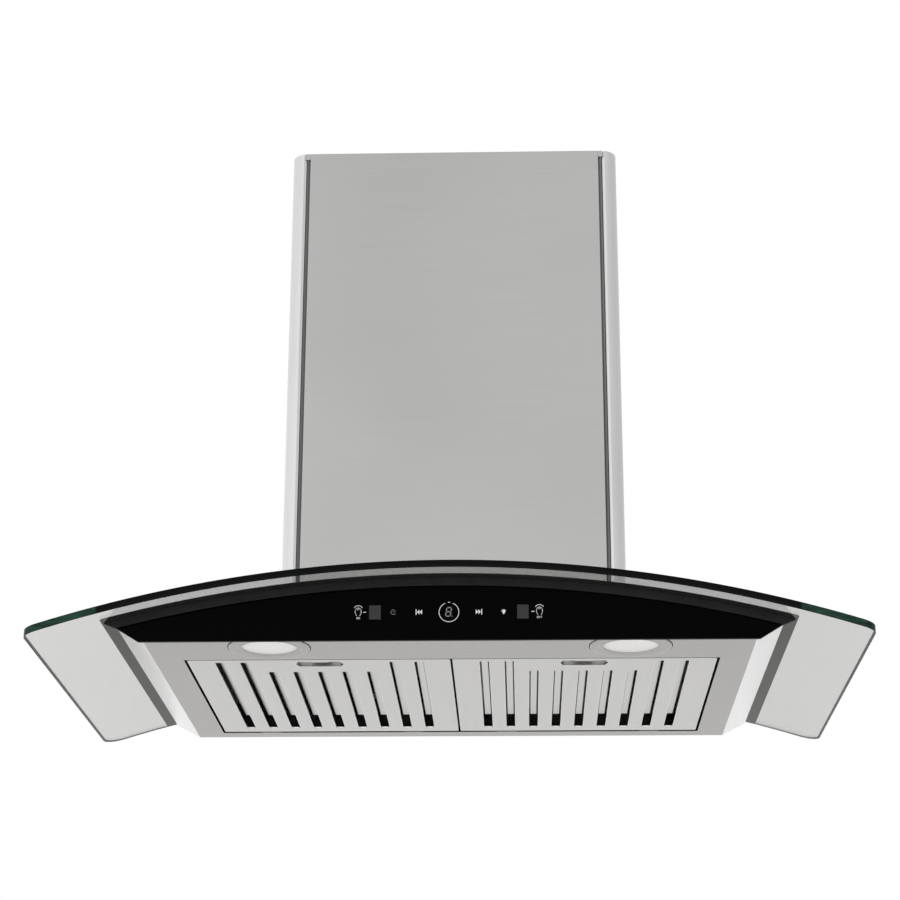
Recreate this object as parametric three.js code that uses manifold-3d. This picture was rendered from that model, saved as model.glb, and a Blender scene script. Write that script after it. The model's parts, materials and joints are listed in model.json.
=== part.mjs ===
// Wall-mounted range hood with a curved glass canopy.
// Millimetres, +Z up, +Y towards the wall, +X to the right as seen from the room.
// While the pieces are made, z = 0 is the underside of the steel body and y = 0 is the wall.
// The finished group is lowered so that its origin lies on the wall at hanging height.

import * as THREE from "three";
import { mergeVertices } from "three/addons/utils/BufferGeometryUtils.js";
import Module from "manifold-3d";

const wasm = await Module();
wasm.setup();

// ---------- driving dimensions ----------

const seat = 0.3; // gap between pieces that touch
const hangHeight = 360; // from the body's underside up to the hanging screws

const glass = { width: 900, front: 520, wallGap: 1, thickness: 8, frontCorner: 18, backCorner: 24 };
const arch = { radius: 1430, crown: 63, step: 36 }; // underside of the glass over the body's underside

const body = { floor: 662, shoulder: 720, depth: 478, sheet: 1.2, flange: 18 };
const plate = { sheet: 1.2, margin: 4 }; // steel plate that carries the glass
const bay = { width: 596, front: 379, back: 23, lip: 9, seatHeight: 17 };

const panel = { thickness: 5, bottom: 332, top: 357, drop: 7, gapToGlass: 9.3 };
const windowHole = { width: 224, low: 8, high: 42 };
const housing = { width: 236, low: 3, high: 48, depth: 18, wall: 2.5, flange: 5 };
const board = { width: 216, low: 10, high: 40, thickness: 1.5, depth: 7.2 };
const keys = { height: 25, places: [-59, -32, 33, 59], radius: 3.5, sensor: 79, display: 12.6 };

const lamp = { x: 197, y: 430, lens: 30.6, opening: 29, neck: 34, trim: 44.5, neckTop: 8, can: 33, canTop: 30 };

const filter = { sheet: 1, height: 16, sideGap: 3, middleGap: 2.4, frontGap: 1.5, backGap: 7 };
const slot = { count: 9, pitch: 27.9, width: 9.4, front: 366, shortFront: 324, back: 48, rim: 2, short: 2 };
const trough = { width: 8.6, bottom: 9, sheet: 0.9, back: 79, ridge: 11 };
const tab = { width: 24, reach: 8, thickness: 1.2, spread: 180 };
const recess = { width: 50, flat: 40, front: 365.5, back: 350.5, depth: 9, sheet: 1 };
const latch = { width: 20, thickness: 1.2, grip: 4.5, wing: 32 };

const duct = { radius: 75, wall: 2.5, height: 55, y: 182, flange: 79, pinHeight: 25 };
const flap = { thickness: 1.6, gap: 0.8, knuckle: 3.8, pin: 2, length: 29 };

const box = { width: 340, depth: 262, top: 400, sheet: 1, rim: 16 };
const airHole = { width: 308, front: 246, back: 16 };
const bolt = { radius: 3, head: 5.6, height: 4, x: 110, front: 254, back: 9 };

const fan = { y: 128, z: 235, radius: 90, blade: 15, half: 84, blades: 26, ring: 2, hub: 13, shaft: 4 };
const scroll = { wall: 2, half: 105, tongue: 96, mouth: 124, tongueAngle: 20, neckBack: 22, flange: 6 };
const inlet = { throat: 71.5, wall: 2, flange: 84, depth: 13 };
const motor = { radius: 44, from: 20, to: 84, boss: 12, bearing: 6 };

const cover = { width: 400, front: 318, corner: 20, top: 662, sheet: 1, groove: 2.5, plate: 356, fold: 13.7 };
const grooveLip = 8; // height over which the front plate closes the grooves, under its top edge
const upper = { width: 380, front: 300, corner: 12, top: 655, sheet: 1, back: 3, fold: 14 };
const bracket = { top: 98.3, height: 20, sheet: 1.3, y: 130, length: 40, screw: 2 };

// ---------- shapes ----------

const xAxis = new THREE.Vector3(1, 0, 0);
const yAxis = new THREE.Vector3(0, 1, 0);
const zAxis = new THREE.Vector3(0, 0, 1);

// An outline is drawn in the plane across its axis: (y, z), (x, z) or (x, y).
const turn = {
  x: new THREE.Matrix4().makeBasis(yAxis, zAxis, xAxis),
  y: new THREE.Matrix4().makeBasis(xAxis, zAxis, yAxis.clone().negate()),
  z: new THREE.Matrix4(),
};

function solid(geometry) {
  geometry.deleteAttribute("normal");
  geometry.deleteAttribute("uv");
  const merged = mergeVertices(geometry, 1e-4);
  return new wasm.Manifold(
    new wasm.Mesh({
      numProp: 3,
      vertProperties: new Float32Array(merged.attributes.position.array),
      triVerts: new Uint32Array(merged.index.array),
    }),
  );
}

function prismGeometry(outline, axis, from, to) {
  const shape =
    outline instanceof THREE.Shape
      ? outline
      : new THREE.Shape(outline.map(([a, b]) => new THREE.Vector2(a, b)));
  const geometry = new THREE.ExtrudeGeometry(shape, { depth: to - from, bevelEnabled: false });
  geometry.applyMatrix4(turn[axis]);
  const start = { x: [from, 0, 0], y: [0, to, 0], z: [0, 0, from] }[axis];
  return geometry.translate(...start);
}

const prism = (outline, axis, from, to) => solid(prismGeometry(outline, axis, from, to));

function block(x0, x1, y0, y1, z0, z1) {
  const geometry = new THREE.BoxGeometry(x1 - x0, y1 - y0, z1 - z0);
  return solid(geometry.translate((x0 + x1) / 2, (y0 + y1) / 2, (z0 + z1) / 2));
}

function circle(radius, [a, b] = [0, 0], sides = 24) {
  return Array.from({ length: sides }, (_, i) => {
    const angle = (2 * Math.PI * i) / sides;
    return [a + radius * Math.cos(angle), b + radius * Math.sin(angle)];
  });
}

const rod = (axis, radius, from, to, centre, sides) =>
  prism(circle(radius, centre, sides), axis, from, to);

// A closed profile of [radius, height] points, turned about the vertical line through (x, y).
function turned(profile, x, y, sides = 24) {
  const points = profile.map(([r, z]) => new THREE.Vector2(r, z));
  const geometry = new THREE.LatheGeometry(points, sides);
  return solid(geometry.rotateX(Math.PI / 2).translate(x, y, 0));
}

function arc(centre, radius, fromDegrees, toDegrees, steps) {
  return Array.from({ length: steps + 1 }, (_, i) => {
    const angle = THREE.MathUtils.degToRad(fromDegrees + ((toDegrees - fromDegrees) * i) / steps);
    return [centre[0] + radius * Math.cos(angle), centre[1] + radius * Math.sin(angle)];
  });
}

function roundedRectangle(x0, x1, y0, y1, front, back = front, [few, more] = [3, 3]) {
  return [
    ...arc([x1 - front, y0 + front], front, -90, 0, few),
    ...arc([x1 - back, y1 - back], back, 0, 90, more),
    ...arc([x0 + back, y1 - back], back, 90, 180, more),
    ...arc([x0 + front, y0 + front], front, 180, 270, few),
  ];
}

// Outline of a bent sheet: the path is one face, and the sheet lies on its left.
function bentSheet(path, thickness) {
  const points = path.map(([a, b]) => new THREE.Vector2(a, b));
  const leftOf = (from, to) => {
    const along = to.clone().sub(from).normalize();
    return new THREE.Vector2(-along.y, along.x);
  };
  const inner = points.map((point, i) => {
    const before = leftOf(points[Math.max(i - 1, 0)], points[Math.max(i, 1)]);
    const after = leftOf(points[Math.min(i, points.length - 2)], points[Math.min(i + 1, points.length - 1)]);
    const mitre = before.clone().add(after).divideScalar(1 + before.dot(after));
    return point.clone().addScaledVector(mitre, thickness);
  });
  return new THREE.Shape([...points, ...inner.reverse()]);
}

// Height of the surface that lies `lift` above the underside of the glass.
const archHeight = (x, lift = 0) =>
  arch.crown - arch.radius + Math.sqrt((arch.radius + lift) ** 2 - x * x);

function archPath(half, lift) {
  const steps = Math.ceil(half / arch.step) - 1;
  const inner = Array.from({ length: 2 * steps + 1 }, (_, i) => (i - steps) * arch.step);
  return [-half, ...inner, half].map((x) => [x, archHeight(x, lift)]);
}

const archBand = (half, low, high) => [...archPath(half, low), ...archPath(half, high).reverse()];
const underArch = (half, lift, floor) => [
  [-half, floor],
  [half, floor],
  ...archPath(half, lift).reverse(),
];

const union = (pieces) => pieces.reduce((sum, piece) => sum.add(piece));
const both = (place) => [-1, 1].map(place);

// ---------- finishes ----------

const finish = (color, roughness, metalness, more = {}) =>
  new THREE.MeshStandardMaterial({ color, roughness, metalness, ...more });
const steel = finish(0xbfc0c1, 0.34, 1);
const brightSteel = finish(0xdcdcdd, 0.25, 1);
const zincSteel = finish(0xa8adb0, 0.45, 0.9);
const clearGlass = finish(0xcfe0d8, 0.05, 0, { transparent: true, opacity: 0.35 });
const blackGlass = finish(0x050505, 0.08, 0);
const blackRubber = finish(0x151515, 0.8, 0);
const blackPlastic = finish(0x1c1c1d, 0.5, 0);
const greyPlastic = finish(0x6d7073, 0.5, 0);
const whitePlastic = finish(0xe9e9e6, 0.4, 0);
const frosted = finish(0xf4f4f2, 0.3, 0);
const greenBoard = finish(0x1f5a37, 0.5, 0);
const castAluminium = finish(0xa9abad, 0.5, 0.8);

const hood = new THREE.Group();
hood.position.z = -hangHeight;

function add(name, shape, material) {
  const { numProp, vertProperties, triVerts } = shape.getMesh();
  const geometry = new THREE.BufferGeometry();
  const points = new THREE.InterleavedBuffer(vertProperties, numProp);
  geometry.setAttribute("position", new THREE.InterleavedBufferAttribute(points, 3, 0));
  geometry.setIndex(new THREE.BufferAttribute(triVerts, 1));
  const mesh = new THREE.Mesh(geometry.toNonIndexed(), material);
  mesh.geometry.computeVertexNormals();
  mesh.name = name;
  hood.add(mesh);
  return mesh;
}

// A right-hand piece and its mirror image on the left.
function addPair(name, shape, material) {
  const right = add(name + "_right", shape, material);
  const left = new THREE.Mesh(right.geometry, material);
  left.name = name + "_left";
  left.scale.x = -1;
  hood.add(left);
}

// ---------- the glass and what it is clamped between ----------

const plateLift = -seat; // top of the carrying plate, from the underside of the glass
const bodyLift = plateLift - plate.sheet - seat; // top of the body's flange
const gasket = { thickness: 1.7, low: glass.thickness + seat };
const boxLift = gasket.low + gasket.thickness + seat; // underside of the blower box's rim

const boltPlaces = [-bolt.front, -bolt.back].flatMap((y) => both((side) => [side * bolt.x, y]));
const holes = (radius) => union(boltPlaces.map((at) => rod("z", radius, 30, 120, at, 8)));
const boltHoles = holes(bolt.radius + seat);

function airOpening(inset) {
  const half = airHole.width / 2 - inset;
  const outline = roundedRectangle(-half, half, -airHole.front + inset, -airHole.back - inset, 8);
  return prism(outline, "z", -20, 120);
}

function canopy() {
  const half = glass.width / 2;
  const sheet = prism(archBand(half, 0, glass.thickness), "y", -glass.front, -glass.wallGap);
  const plan = roundedRectangle(
    -half, half, -glass.front, -glass.wallGap, glass.frontCorner, glass.backCorner, [6, 4],
  );
  return sheet.intersect(prism(plan, "z", -100, 150)).subtract(airOpening(0)).subtract(boltHoles);
}

function carryingPlate() {
  const half = body.shoulder / 2 - plate.margin;
  return prism(
    archBand(half, plateLift - plate.sheet, plateLift), "y", -body.depth + plate.margin, -2,
  )
    .subtract(airOpening(4))
    .subtract(boltHoles);
}

function gasketRing() {
  const half = box.width / 2 - 1;
  return prism(
    archBand(half, gasket.low, gasket.low + gasket.thickness), "y", -box.depth + 1, -1,
  )
    .subtract(airOpening(0))
    .subtract(boltHoles);
}

// A bolt with its nut: head under the carrying plate, nut on the rim of the blower box.
function clampBolt([x, y]) {
  const tilt = bolt.head * (Math.abs(x) / arch.radius);
  const under = archHeight(x, plateLift - plate.sheet) - seat - tilt;
  const over = archHeight(x, boxLift + box.sheet) + seat + tilt;
  const head = rod("z", bolt.head, under - bolt.height, under, [x, y], 6);
  const shank = rod("z", bolt.radius, under - 1, over + 8, [x, y], 8);
  const nut = rod("z", bolt.head, over, over + bolt.height + 1, [x, y], 6);
  return union([head, shank, nut]);
}

add("canopy_glass", canopy(), clearGlass);
add("top_plate", carryingPlate(), zincSteel);
add("glass_gasket", gasketRing(), blackRubber);
boltPlaces.forEach((at, i) => add("clamp_bolt_" + (i + 1), clampBolt(at), brightSteel));

// ---------- the steel body ----------

// Cross-section of the body: flat floor, sloped sides and a top that follows the glass.
function bodyOutline(inset) {
  const rise = archHeight(body.shoulder / 2, bodyLift);
  const slope = Math.atan2(rise, (body.shoulder - body.floor) / 2);
  const foot = body.floor / 2 - inset * Math.tan(slope / 2);
  const centre = arch.crown - arch.radius;
  const radius = arch.radius + bodyLift - inset;
  const along = foot * Math.cos(slope) + (inset - centre) * Math.sin(slope);
  const reach = -along + Math.sqrt(along ** 2 - foot ** 2 - (inset - centre) ** 2 + radius ** 2);
  const shoulder = foot + reach * Math.cos(slope);
  return [[-foot, inset], [foot, inset], ...archPath(shoulder, bodyLift - inset).reverse()];
}

const lampPlaces = both((side) => [side * lamp.x, -lamp.y]);
const filterWidth = (bay.width - 2 * filter.sideGap - filter.middleGap) / 2;
const filterCentre = (filterWidth + filter.middleGap) / 2;
const filterFront = -bay.front + filter.frontGap;
const filterBack = -bay.back - filter.backGap;

function bodyShell() {
  const { sheet, depth, flange } = body;
  const half = bay.width / 2;
  const outside = prism(bodyOutline(0), "y", -depth, 0);
  const inside = prism(bodyOutline(sheet), "y", -depth + sheet, -sheet);
  const top = prism(
    archBand(body.shoulder / 2 - flange - 7, bodyLift - sheet - 1, bodyLift + 5),
    "y", -depth + flange, -flange,
  );
  const bayHole = block(-half, half, -bay.front, -bay.back, -1, sheet + 1);
  const lampHoles = lampPlaces.map((at) => rod("z", lamp.neck + 0.5, -1, sheet + 1, at));
  const window = block(
    -windowHole.width / 2, windowHole.width / 2,
    -depth - 1, -depth + sheet + 1,
    windowHole.low, windowHole.high,
  );
  // folded edges of the filter bay: high ones with a lip at the sides, a low one in front
  const fold = [
    [half - bay.lip, bay.seatHeight],
    [half, bay.seatHeight],
    [half, 0],
  ];
  const sides = [fold, fold.map(([x, z]) => [-x, z]).toReversed()].map((path) =>
    prism(bentSheet(path, sheet), "y", -bay.front, -bay.back),
  );
  const frontFold = block(-half, half, -bay.front - sheet, -bay.front, 0, 12);
  const latchNotches = both((side) =>
    block(
      side * filterCentre - 30, side * filterCentre + 30,
      -bay.front - sheet - 1, -bay.front + 1, sheet, 13,
    ),
  );
  return outside
    .subtract(inside)
    .subtract(union([top, bayHole, window, holes(bolt.head + 1.5), ...lampHoles]))
    .add(union([frontFold.subtract(union(latchNotches)), ...sides]));
}

add("body_shell", bodyShell(), steel);

// ---------- the control panel ----------

const panelBack = -body.depth - seat;
const panelFront = panelBack - panel.thickness;

function panelPlate() {
  const outline = [
    [-panel.bottom, -panel.drop],
    [panel.bottom, -panel.drop],
    ...archPath(panel.top, -panel.gapToGlass).reverse(),
  ];
  return prism(outline, "y", panelFront, panelBack);
}

function panelSeal() {
  return prism(
    archBand(panel.top, -panel.gapToGlass + seat, -seat), "y", panelFront + 1, panelBack,
  );
}

const wallInside = -body.depth + body.sheet; // inner face of the body's front wall
const boardFront = panelBack + board.depth + seat;

function controlHousing() {
  const { width, low, high, depth, wall, flange } = housing;
  const half = width / 2;
  const front = wallInside + seat;
  const shell = block(-half, half, front, front + depth, low, high);
  const rim = block(-half - flange, half + flange, front, front + 2, low, high);
  const hollow = block(-half + wall, half - wall, front - 1, front + depth - wall, low + wall, high - wall);
  const posts = both((side) => side * (board.width / 2 - 8)).map((x) =>
    rod("y", 3, boardFront + board.thickness + seat, front + depth - 1, [x, keys.height], 8),
  );
  return union([shell.add(rim).subtract(hollow), ...posts]);
}

function touchBoard() {
  const half = board.width / 2;
  const sheet = block(-half, half, boardFront, boardFront + board.thickness, board.low, board.high);
  const pads = keys.places.map((x) =>
    rod("y", keys.radius, panelBack + seat, boardFront + 0.5, [x, keys.height], 10),
  );
  const chip = block(-8, 8, boardFront + 1, boardFront + 4, keys.height - 6, keys.height + 6);
  return union([sheet, ...pads, chip]);
}

function displayModule() {
  const centre = [0, keys.height];
  const front = panelBack + seat;
  const back = boardFront - seat;
  const base = rod("y", keys.display, front + 3.5, back, centre, 20);
  const light = rod("y", keys.display, front, front + 4, centre, 20)
    .subtract(rod("y", keys.display - 2.6, front - 1, front + 5, centre, 20));
  const digit = block(-5, 5, front, front + 4, keys.height - 7.5, keys.height + 7.5);
  return union([base, light, digit]);
}

function gestureSensor() {
  const front = panelBack + seat;
  const back = boardFront - seat;
  const [x, z] = [keys.sensor, keys.height];
  const can = block(x - 7, x + 7, front, back, z - 7.5, z + 7.5);
  const pocket = block(x - 5.6, x + 5.6, front - 1, front + 4, z - 6.1, z + 6.1);
  const eyes = both((side) => rod("y", 1.9, front + 1, front + 5, [x, z + side * 2.8], 8));
  return union([can.subtract(pocket), ...eyes]);
}

add("front_panel", panelPlate(), blackGlass);
add("panel_seal", panelSeal(), blackRubber);
add("control_housing", controlHousing(), blackPlastic);
add("touch_board", touchBoard(), greenBoard);
add("display_module", displayModule(), whitePlastic);
addPair("gesture_sensor", gestureSensor(), blackPlastic);

// ---------- the lamps ----------

function lampTrim() {
  const { opening, trim, neck, neckTop } = lamp;
  const profile = [
    [opening, -1.5],
    [trim - 1, -1.5],
    [trim, -0.9],
    [trim, -seat],
    [neck, -seat],
    [neck, neckTop],
    [neck - 3, neckTop],
    [neck - 3, -seat],
    [opening, -seat],
    [opening, -1.5],
  ];
  return turned(profile, lamp.x, -lamp.y);
}

function lampLens() {
  const edge = lamp.lens;
  const profile = [[0, -1.1], [14, -0.9], [lamp.opening - 1, 0], [edge, 0], [edge, 3], [0, 3]];
  return turned(profile, lamp.x, -lamp.y);
}

function lampHousing() {
  const at = [lamp.x, -lamp.y];
  const bottom = lamp.neckTop + seat;
  const can = rod("z", lamp.can, bottom, lamp.canTop - 8, at)
    .subtract(rod("z", lamp.can - 3, bottom - 1, lamp.canTop - 12, at));
  const fins = [-20, -10, 0, 10, 20].map((dx) =>
    block(
      at[0] + dx - 1, at[0] + dx + 1, -lamp.y - lamp.can, -lamp.y + lamp.can, lamp.canTop - 9, lamp.canTop,
    ),
  );
  return can.add(union(fins).intersect(rod("z", lamp.can - 1, 0, 60, at)));
}

addPair("lamp_trim", lampTrim(), brightSteel);
addPair("lamp_lens", lampLens(), frosted);
addPair("lamp_housing", lampHousing(), castAluminium);

// ---------- the baffle filters ----------

const slotPlaces = Array.from({ length: slot.count }, (_, i) => {
  const fromEnd = Math.min(i, slot.count - 1 - i);
  const x = filterCentre + (i - (slot.count - 1) / 2) * slot.pitch;
  return { x, front: -(fromEnd < slot.short ? slot.front : slot.shortFront) };
});

function slotOutline({ x, front }, grow) {
  const half = slot.width / 2 + grow;
  const ends = [front - grow, -slot.back + grow];
  return roundedRectangle(x - half, x + half, ...ends, 1 + grow, 3.5 + grow, [1, 2]);
}

function recessOutline(grow) {
  const middle = -(recess.front + recess.back) / 2;
  const halfDepth = (recess.front - recess.back) / 2 + grow;
  const [tip, flat] = [recess.width / 2 + grow, recess.flat / 2 + grow / 2];
  return [[-tip, 0], [-flat, -halfDepth], [flat, -halfDepth], [tip, 0], [flat, halfDepth], [-flat, halfDepth]]
    .map(([x, y]) => [filterCentre + x, middle + y]);
}

function filterFace() {
  const { sheet, height } = filter;
  const [x0, x1] = [filterCentre - filterWidth / 2, filterCentre + filterWidth / 2];
  const tray = block(x0, x1, filterFront, filterBack, 0, height)
    .subtract(block(x0 + sheet, x1 - sheet, filterFront + sheet, filterBack - sheet, sheet, height + 1));
  const rims = slotPlaces.map((place) => prism(slotOutline(place, 1), "z", 0, slot.rim));
  const slots = slotPlaces.map((place) => prism(slotOutline(place, 0), "z", -1, slot.rim + 1));
  const cup = prism(recessOutline(recess.sheet), "z", 0, recess.depth + recess.sheet);
  const cupHollow = prism(recessOutline(0), "z", -1, recess.depth);
  const latchWay = block(
    filterCentre - latch.width / 2 - 1, filterCentre + latch.width / 2 + 1,
    filterFront - 1, -recess.front + 3,
    body.sheet, body.sheet + latch.thickness + 1,
  );
  const tabs = both((side) => {
    const middle = filterCentre + (side * tab.spread) / 2;
    return block(
      middle - tab.width / 2, middle + tab.width / 2,
      filterBack - sheet, -bay.back + tab.reach,
      body.sheet + seat, body.sheet + seat + tab.thickness,
    );
  });
  return union([tray, cup, ...rims, ...tabs]).subtract(union([cupHollow, latchWay, ...slots]));
}

// The rear sheet: open between its ridges, with a trough over each slot of the face.
function filterBaffles() {
  const gap = filter.sheet + seat;
  const top = filter.height - seat;
  const low = top - trough.sheet;
  const [x0, x1] = [filterCentre - filterWidth / 2 + gap, filterCentre + filterWidth / 2 - gap];
  const sheet = block(x0, x1, filterFront + gap, filterBack - gap, low, top);
  const windows = slotPlaces.slice(1).map(({ x, front }, i) => {
    const before = slotPlaces[i];
    const start = Math.max(front, before.front);
    const half = (slot.pitch - trough.ridge) / 2;
    const middle = x - slot.pitch / 2;
    return block(middle - half, middle + half, start + 4, -slot.back - 4, low - 1, top + 1);
  });
  const outers = slotPlaces.map(({ x, front }) =>
    block(x - trough.width / 2, x + trough.width / 2, front + 1, -trough.back, trough.bottom, top),
  );
  const inners = slotPlaces.map(({ x, front }) => {
    const half = trough.width / 2 - trough.sheet;
    const inset = 1 + trough.sheet;
    return block(
      x - half, x + half, front + inset, -trough.back - trough.sheet, trough.bottom + trough.sheet, top + 1,
    );
  });
  return union([sheet.subtract(union(windows)), ...outers]).subtract(union(inners));
}

const latchLow = body.sheet + seat;
const latchTip = -bay.front - latch.grip;
const wingFront = filterFront + filter.sheet + seat;

function filterLatch() {
  const [x0, x1] = [filterCentre - latch.width / 2, filterCentre + latch.width / 2];
  const back = -recess.front + 5.5;
  const high = latchLow + latch.thickness;
  const strip = block(x0, x1, latchTip, back, latchLow, high);
  const fingerPull = block(x0, x1, back - latch.thickness, back, latchLow, recess.depth - 1);
  const wings = block(
    filterCentre - latch.wing / 2, filterCentre + latch.wing / 2,
    wingFront, wingFront + latch.thickness, latchLow, latchLow + 5,
  );
  return union([strip, fingerPull, wings]);
}

// A zigzag leaf between the wings of the latch and the wall of the finger recess.
function latchSpring() {
  const from = wingFront + latch.thickness + 0.5;
  const to = -recess.front - recess.sheet - 1;
  const path = [-14, -7, 0, 7, 14].map((x, i) => [filterCentre + x, i % 2 ? from : to]);
  const low = latchLow + latch.thickness + seat;
  return prism(bentSheet(path, 0.4), "z", low, low + 3.5);
}

addPair("filter_face", filterFace(), brightSteel);
addPair("filter_baffles", filterBaffles(), brightSteel);
addPair("filter_latch", filterLatch(), steel);
addPair("latch_spring", latchSpring(), steel);

// ---------- the blower box ----------

const boxHalf = box.width / 2;
const outlet = [0, -duct.y];
const gland = { x: 130, y: 40, radius: 8 };

function keyhole(x) {
  const head = rod("y", 6, -3, 1, [x, hangHeight - 12], 14);
  const neck = block(x - 3.2, x + 3.2, -3, 1, hangHeight - 12, hangHeight + 3);
  return head.add(neck);
}

function blowerBox() {
  const { depth, top, sheet, rim } = box;
  const below = (lift) => prism(underArch(boxHalf + 20, lift, -60), "y", -depth - 10, 10);
  const outside = block(-boxHalf, boxHalf, -depth, 0, 0, top).subtract(below(boxLift));
  const inside = block(-boxHalf + sheet, boxHalf - sheet, -depth + sheet, -sheet, 0, top - sheet)
    .subtract(below(boxLift + sheet));
  const opening = block(-boxHalf + rim, boxHalf - rim, -depth + rim, -rim, 0, arch.crown + 30);
  return outside
    .subtract(inside)
    .subtract(union([opening, boltHoles, ...both((side) => keyhole(side * 110))]))
    .subtract(rod("z", duct.radius - duct.wall, top - 5, top + 5, outlet, 28))
    .subtract(rod("z", gland.radius + seat, top - 5, top + 5, [gland.x, -gland.y], 12));
}

function cableGland() {
  const at = [gland.x, -gland.y];
  const top = box.top + seat;
  const body = union([
    rod("z", gland.radius, box.top - 9, top + 1, at, 12),
    rod("z", 11.5, top, top + 6, at, 6),
    rod("z", 9, top + 5, top + 18, at, 12),
    rod("z", 11.5, box.top - box.sheet - seat - 5, box.top - box.sheet - seat, at, 6),
  ]);
  return body.subtract(rod("z", 4, box.top - 20, box.top + 40, at, 12));
}

add("blower_box", blowerBox(), zincSteel);
add("cable_gland", cableGland(), blackPlastic);

// ---------- the fan ----------

const fanCentre = [-fan.y, fan.z];

// Outline of the scroll in (y, z): a spiral that opens towards the front into the upright neck.
function scrollOutline(grow) {
  const top = box.top - box.sheet - seat + (grow > 0 ? 0 : 1);
  const steps = 25;
  const spiral = Array.from({ length: steps + 1 }, (_, i) => {
    const degrees = 270 - ((270 - scroll.tongueAngle) * i) / steps;
    const share = (degrees - scroll.tongueAngle) / (270 - scroll.tongueAngle);
    const radius = scroll.tongue + (scroll.mouth - scroll.tongue) * share + grow;
    const angle = THREE.MathUtils.degToRad(degrees);
    return [-fan.y + radius * Math.sin(angle), fan.z + radius * Math.cos(angle)];
  });
  return [[-fan.y - scroll.mouth - grow, top], ...spiral, [-fan.y + scroll.neckBack + grow, top]];
}

function scrollHalf() {
  const { wall, half, mouth, neckBack, flange } = scroll;
  const top = box.top - box.sheet - seat;
  const outside = prism(scrollOutline(wall), "x", seat / 2, half);
  const neckFlange = block(
    seat / 2, half + flange,
    -fan.y - mouth - flange, -fan.y + neckBack + wall + flange,
    top - 3, top,
  );
  return outside
    .add(neckFlange)
    .subtract(prism(scrollOutline(0), "x", -1, half - wall))
    .subtract(rod("x", inlet.throat + inlet.wall + seat, half - 5, half + 5, fanCentre, 28));
}

function inletRing() {
  const { throat, wall, flange, depth } = inlet;
  const face = scroll.half + seat;
  // [radius, distance from the fan's middle], round the lip, the flange and the rounded mouth
  const profile = [
    [throat, face - depth],
    [throat + wall, face - depth],
    [throat + wall, face],
    [flange, face],
    [flange, face + 2],
    [throat + 4, face + 2],
    [throat, face - 2],
    [throat, face - depth],
  ];
  const points = profile.map(([r, x]) => new THREE.Vector2(r, x));
  const ring = new THREE.LatheGeometry(points, 28).rotateZ(-Math.PI / 2);
  return solid(ring.translate(0, -fan.y, fan.z));
}

// Forward-curved blade: a thin arc from the inner to the outer radius of the wheel.
function blade(angle) {
  const inner = fan.radius - fan.blade;
  const bend = arc([inner + 6, 13.5], 14.8, -113, -53, 2);
  const outline = bentSheet(bend, 1.1);
  const geometry = prismGeometry(outline, "x", -fan.half + 1, fan.half - 1);
  return solid(geometry.rotateX(angle).translate(0, -fan.y, fan.z));
}

function impeller() {
  const { radius, half, ring, hub, shaft, blades } = fan;
  const inner = radius - fan.blade;
  const ends = both((side) => {
    const [from, to] = side > 0 ? [half - ring, half] : [-half, -half + ring];
    return rod("x", radius + 1, from, to, fanCentre).subtract(
      rod("x", inner - 1, from - 1, to + 1, fanCentre),
    );
  });
  const disc = rod("x", radius + 1, -1, 1, fanCentre);
  const boss = rod("x", hub, -18, 10, fanCentre, 16);
  const row = Array.from({ length: blades }, (_, i) => blade((2 * Math.PI * i) / blades));
  return union([disc, boss, ...ends, ...row]).subtract(rod("x", shaft + seat, -20, 12, fanCentre, 12));
}

function motorBody() {
  const { radius, from, to, boss, bearing } = motor;
  const shell = union([
    rod("x", radius, from + 5, to - 5, fanCentre, 24),
    rod("x", radius - 4, from, to, fanCentre, 24),
    rod("x", boss, from - bearing, from + 1, fanCentre, 16),
  ]);
  const vents = Array.from({ length: 8 }, (_, i) => {
    const slit = new THREE.BoxGeometry(34, 5, 6).translate((from + to) / 2, 0, radius);
    return solid(slit.rotateX((2 * Math.PI * (i + 0.5)) / 8).translate(0, -fan.y, fan.z));
  });
  return shell
    .subtract(union(vents))
    .subtract(rod("x", fan.shaft + seat, from - bearing - 1, from + 20, fanCentre, 12));
}

// Three bent arms from the back of the motor out to a ring on the inlet.
function motorMount() {
  const face = motor.to + seat;
  const ringFace = scroll.half + 2 * seat + 2;
  const hub = rod("x", 34, face, face + 3, fanCentre, 24);
  const rim = rod("x", inlet.flange, ringFace, ringFace + 3, fanCentre, 28).subtract(
    rod("x", inlet.flange - 7, ringFace - 1, ringFace + 4, fanCentre, 28),
  );
  const path = [[30, face + 3], [58, face + 3], [67, ringFace + 3], [inlet.flange - 2, ringFace + 3]];
  const outline = bentSheet(path.map(([r, x]) => [x, r]), 3);
  const arms = [90, 210, 330].map((degrees) => {
    const arm = prismGeometry(outline, "y", -8, 8);
    return solid(arm.rotateX(THREE.MathUtils.degToRad(degrees)).translate(0, -fan.y, fan.z));
  });
  return union([hub, rim, ...arms]);
}

addPair("scroll", scrollHalf(), greyPlastic);
addPair("inlet_ring", inletRing(), greyPlastic);
add("impeller", impeller(), zincSteel);
add("motor_shaft", rod("x", fan.shaft, -22, motor.from + 18, fanCentre, 12), brightSteel);
add("motor", motorBody(), castAluminium);
add("motor_mount", motorMount(), zincSteel);

// ---------- the power electronics on the front of the blower box ----------

const boxFace = -box.depth - seat;
const power = { x0: -130, x1: 10, z0: 250, z1: 350, depth: 26, wall: 2 };
const capacitor = { x: 80, radius: 15, z0: 285, z1: 350 };

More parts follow.
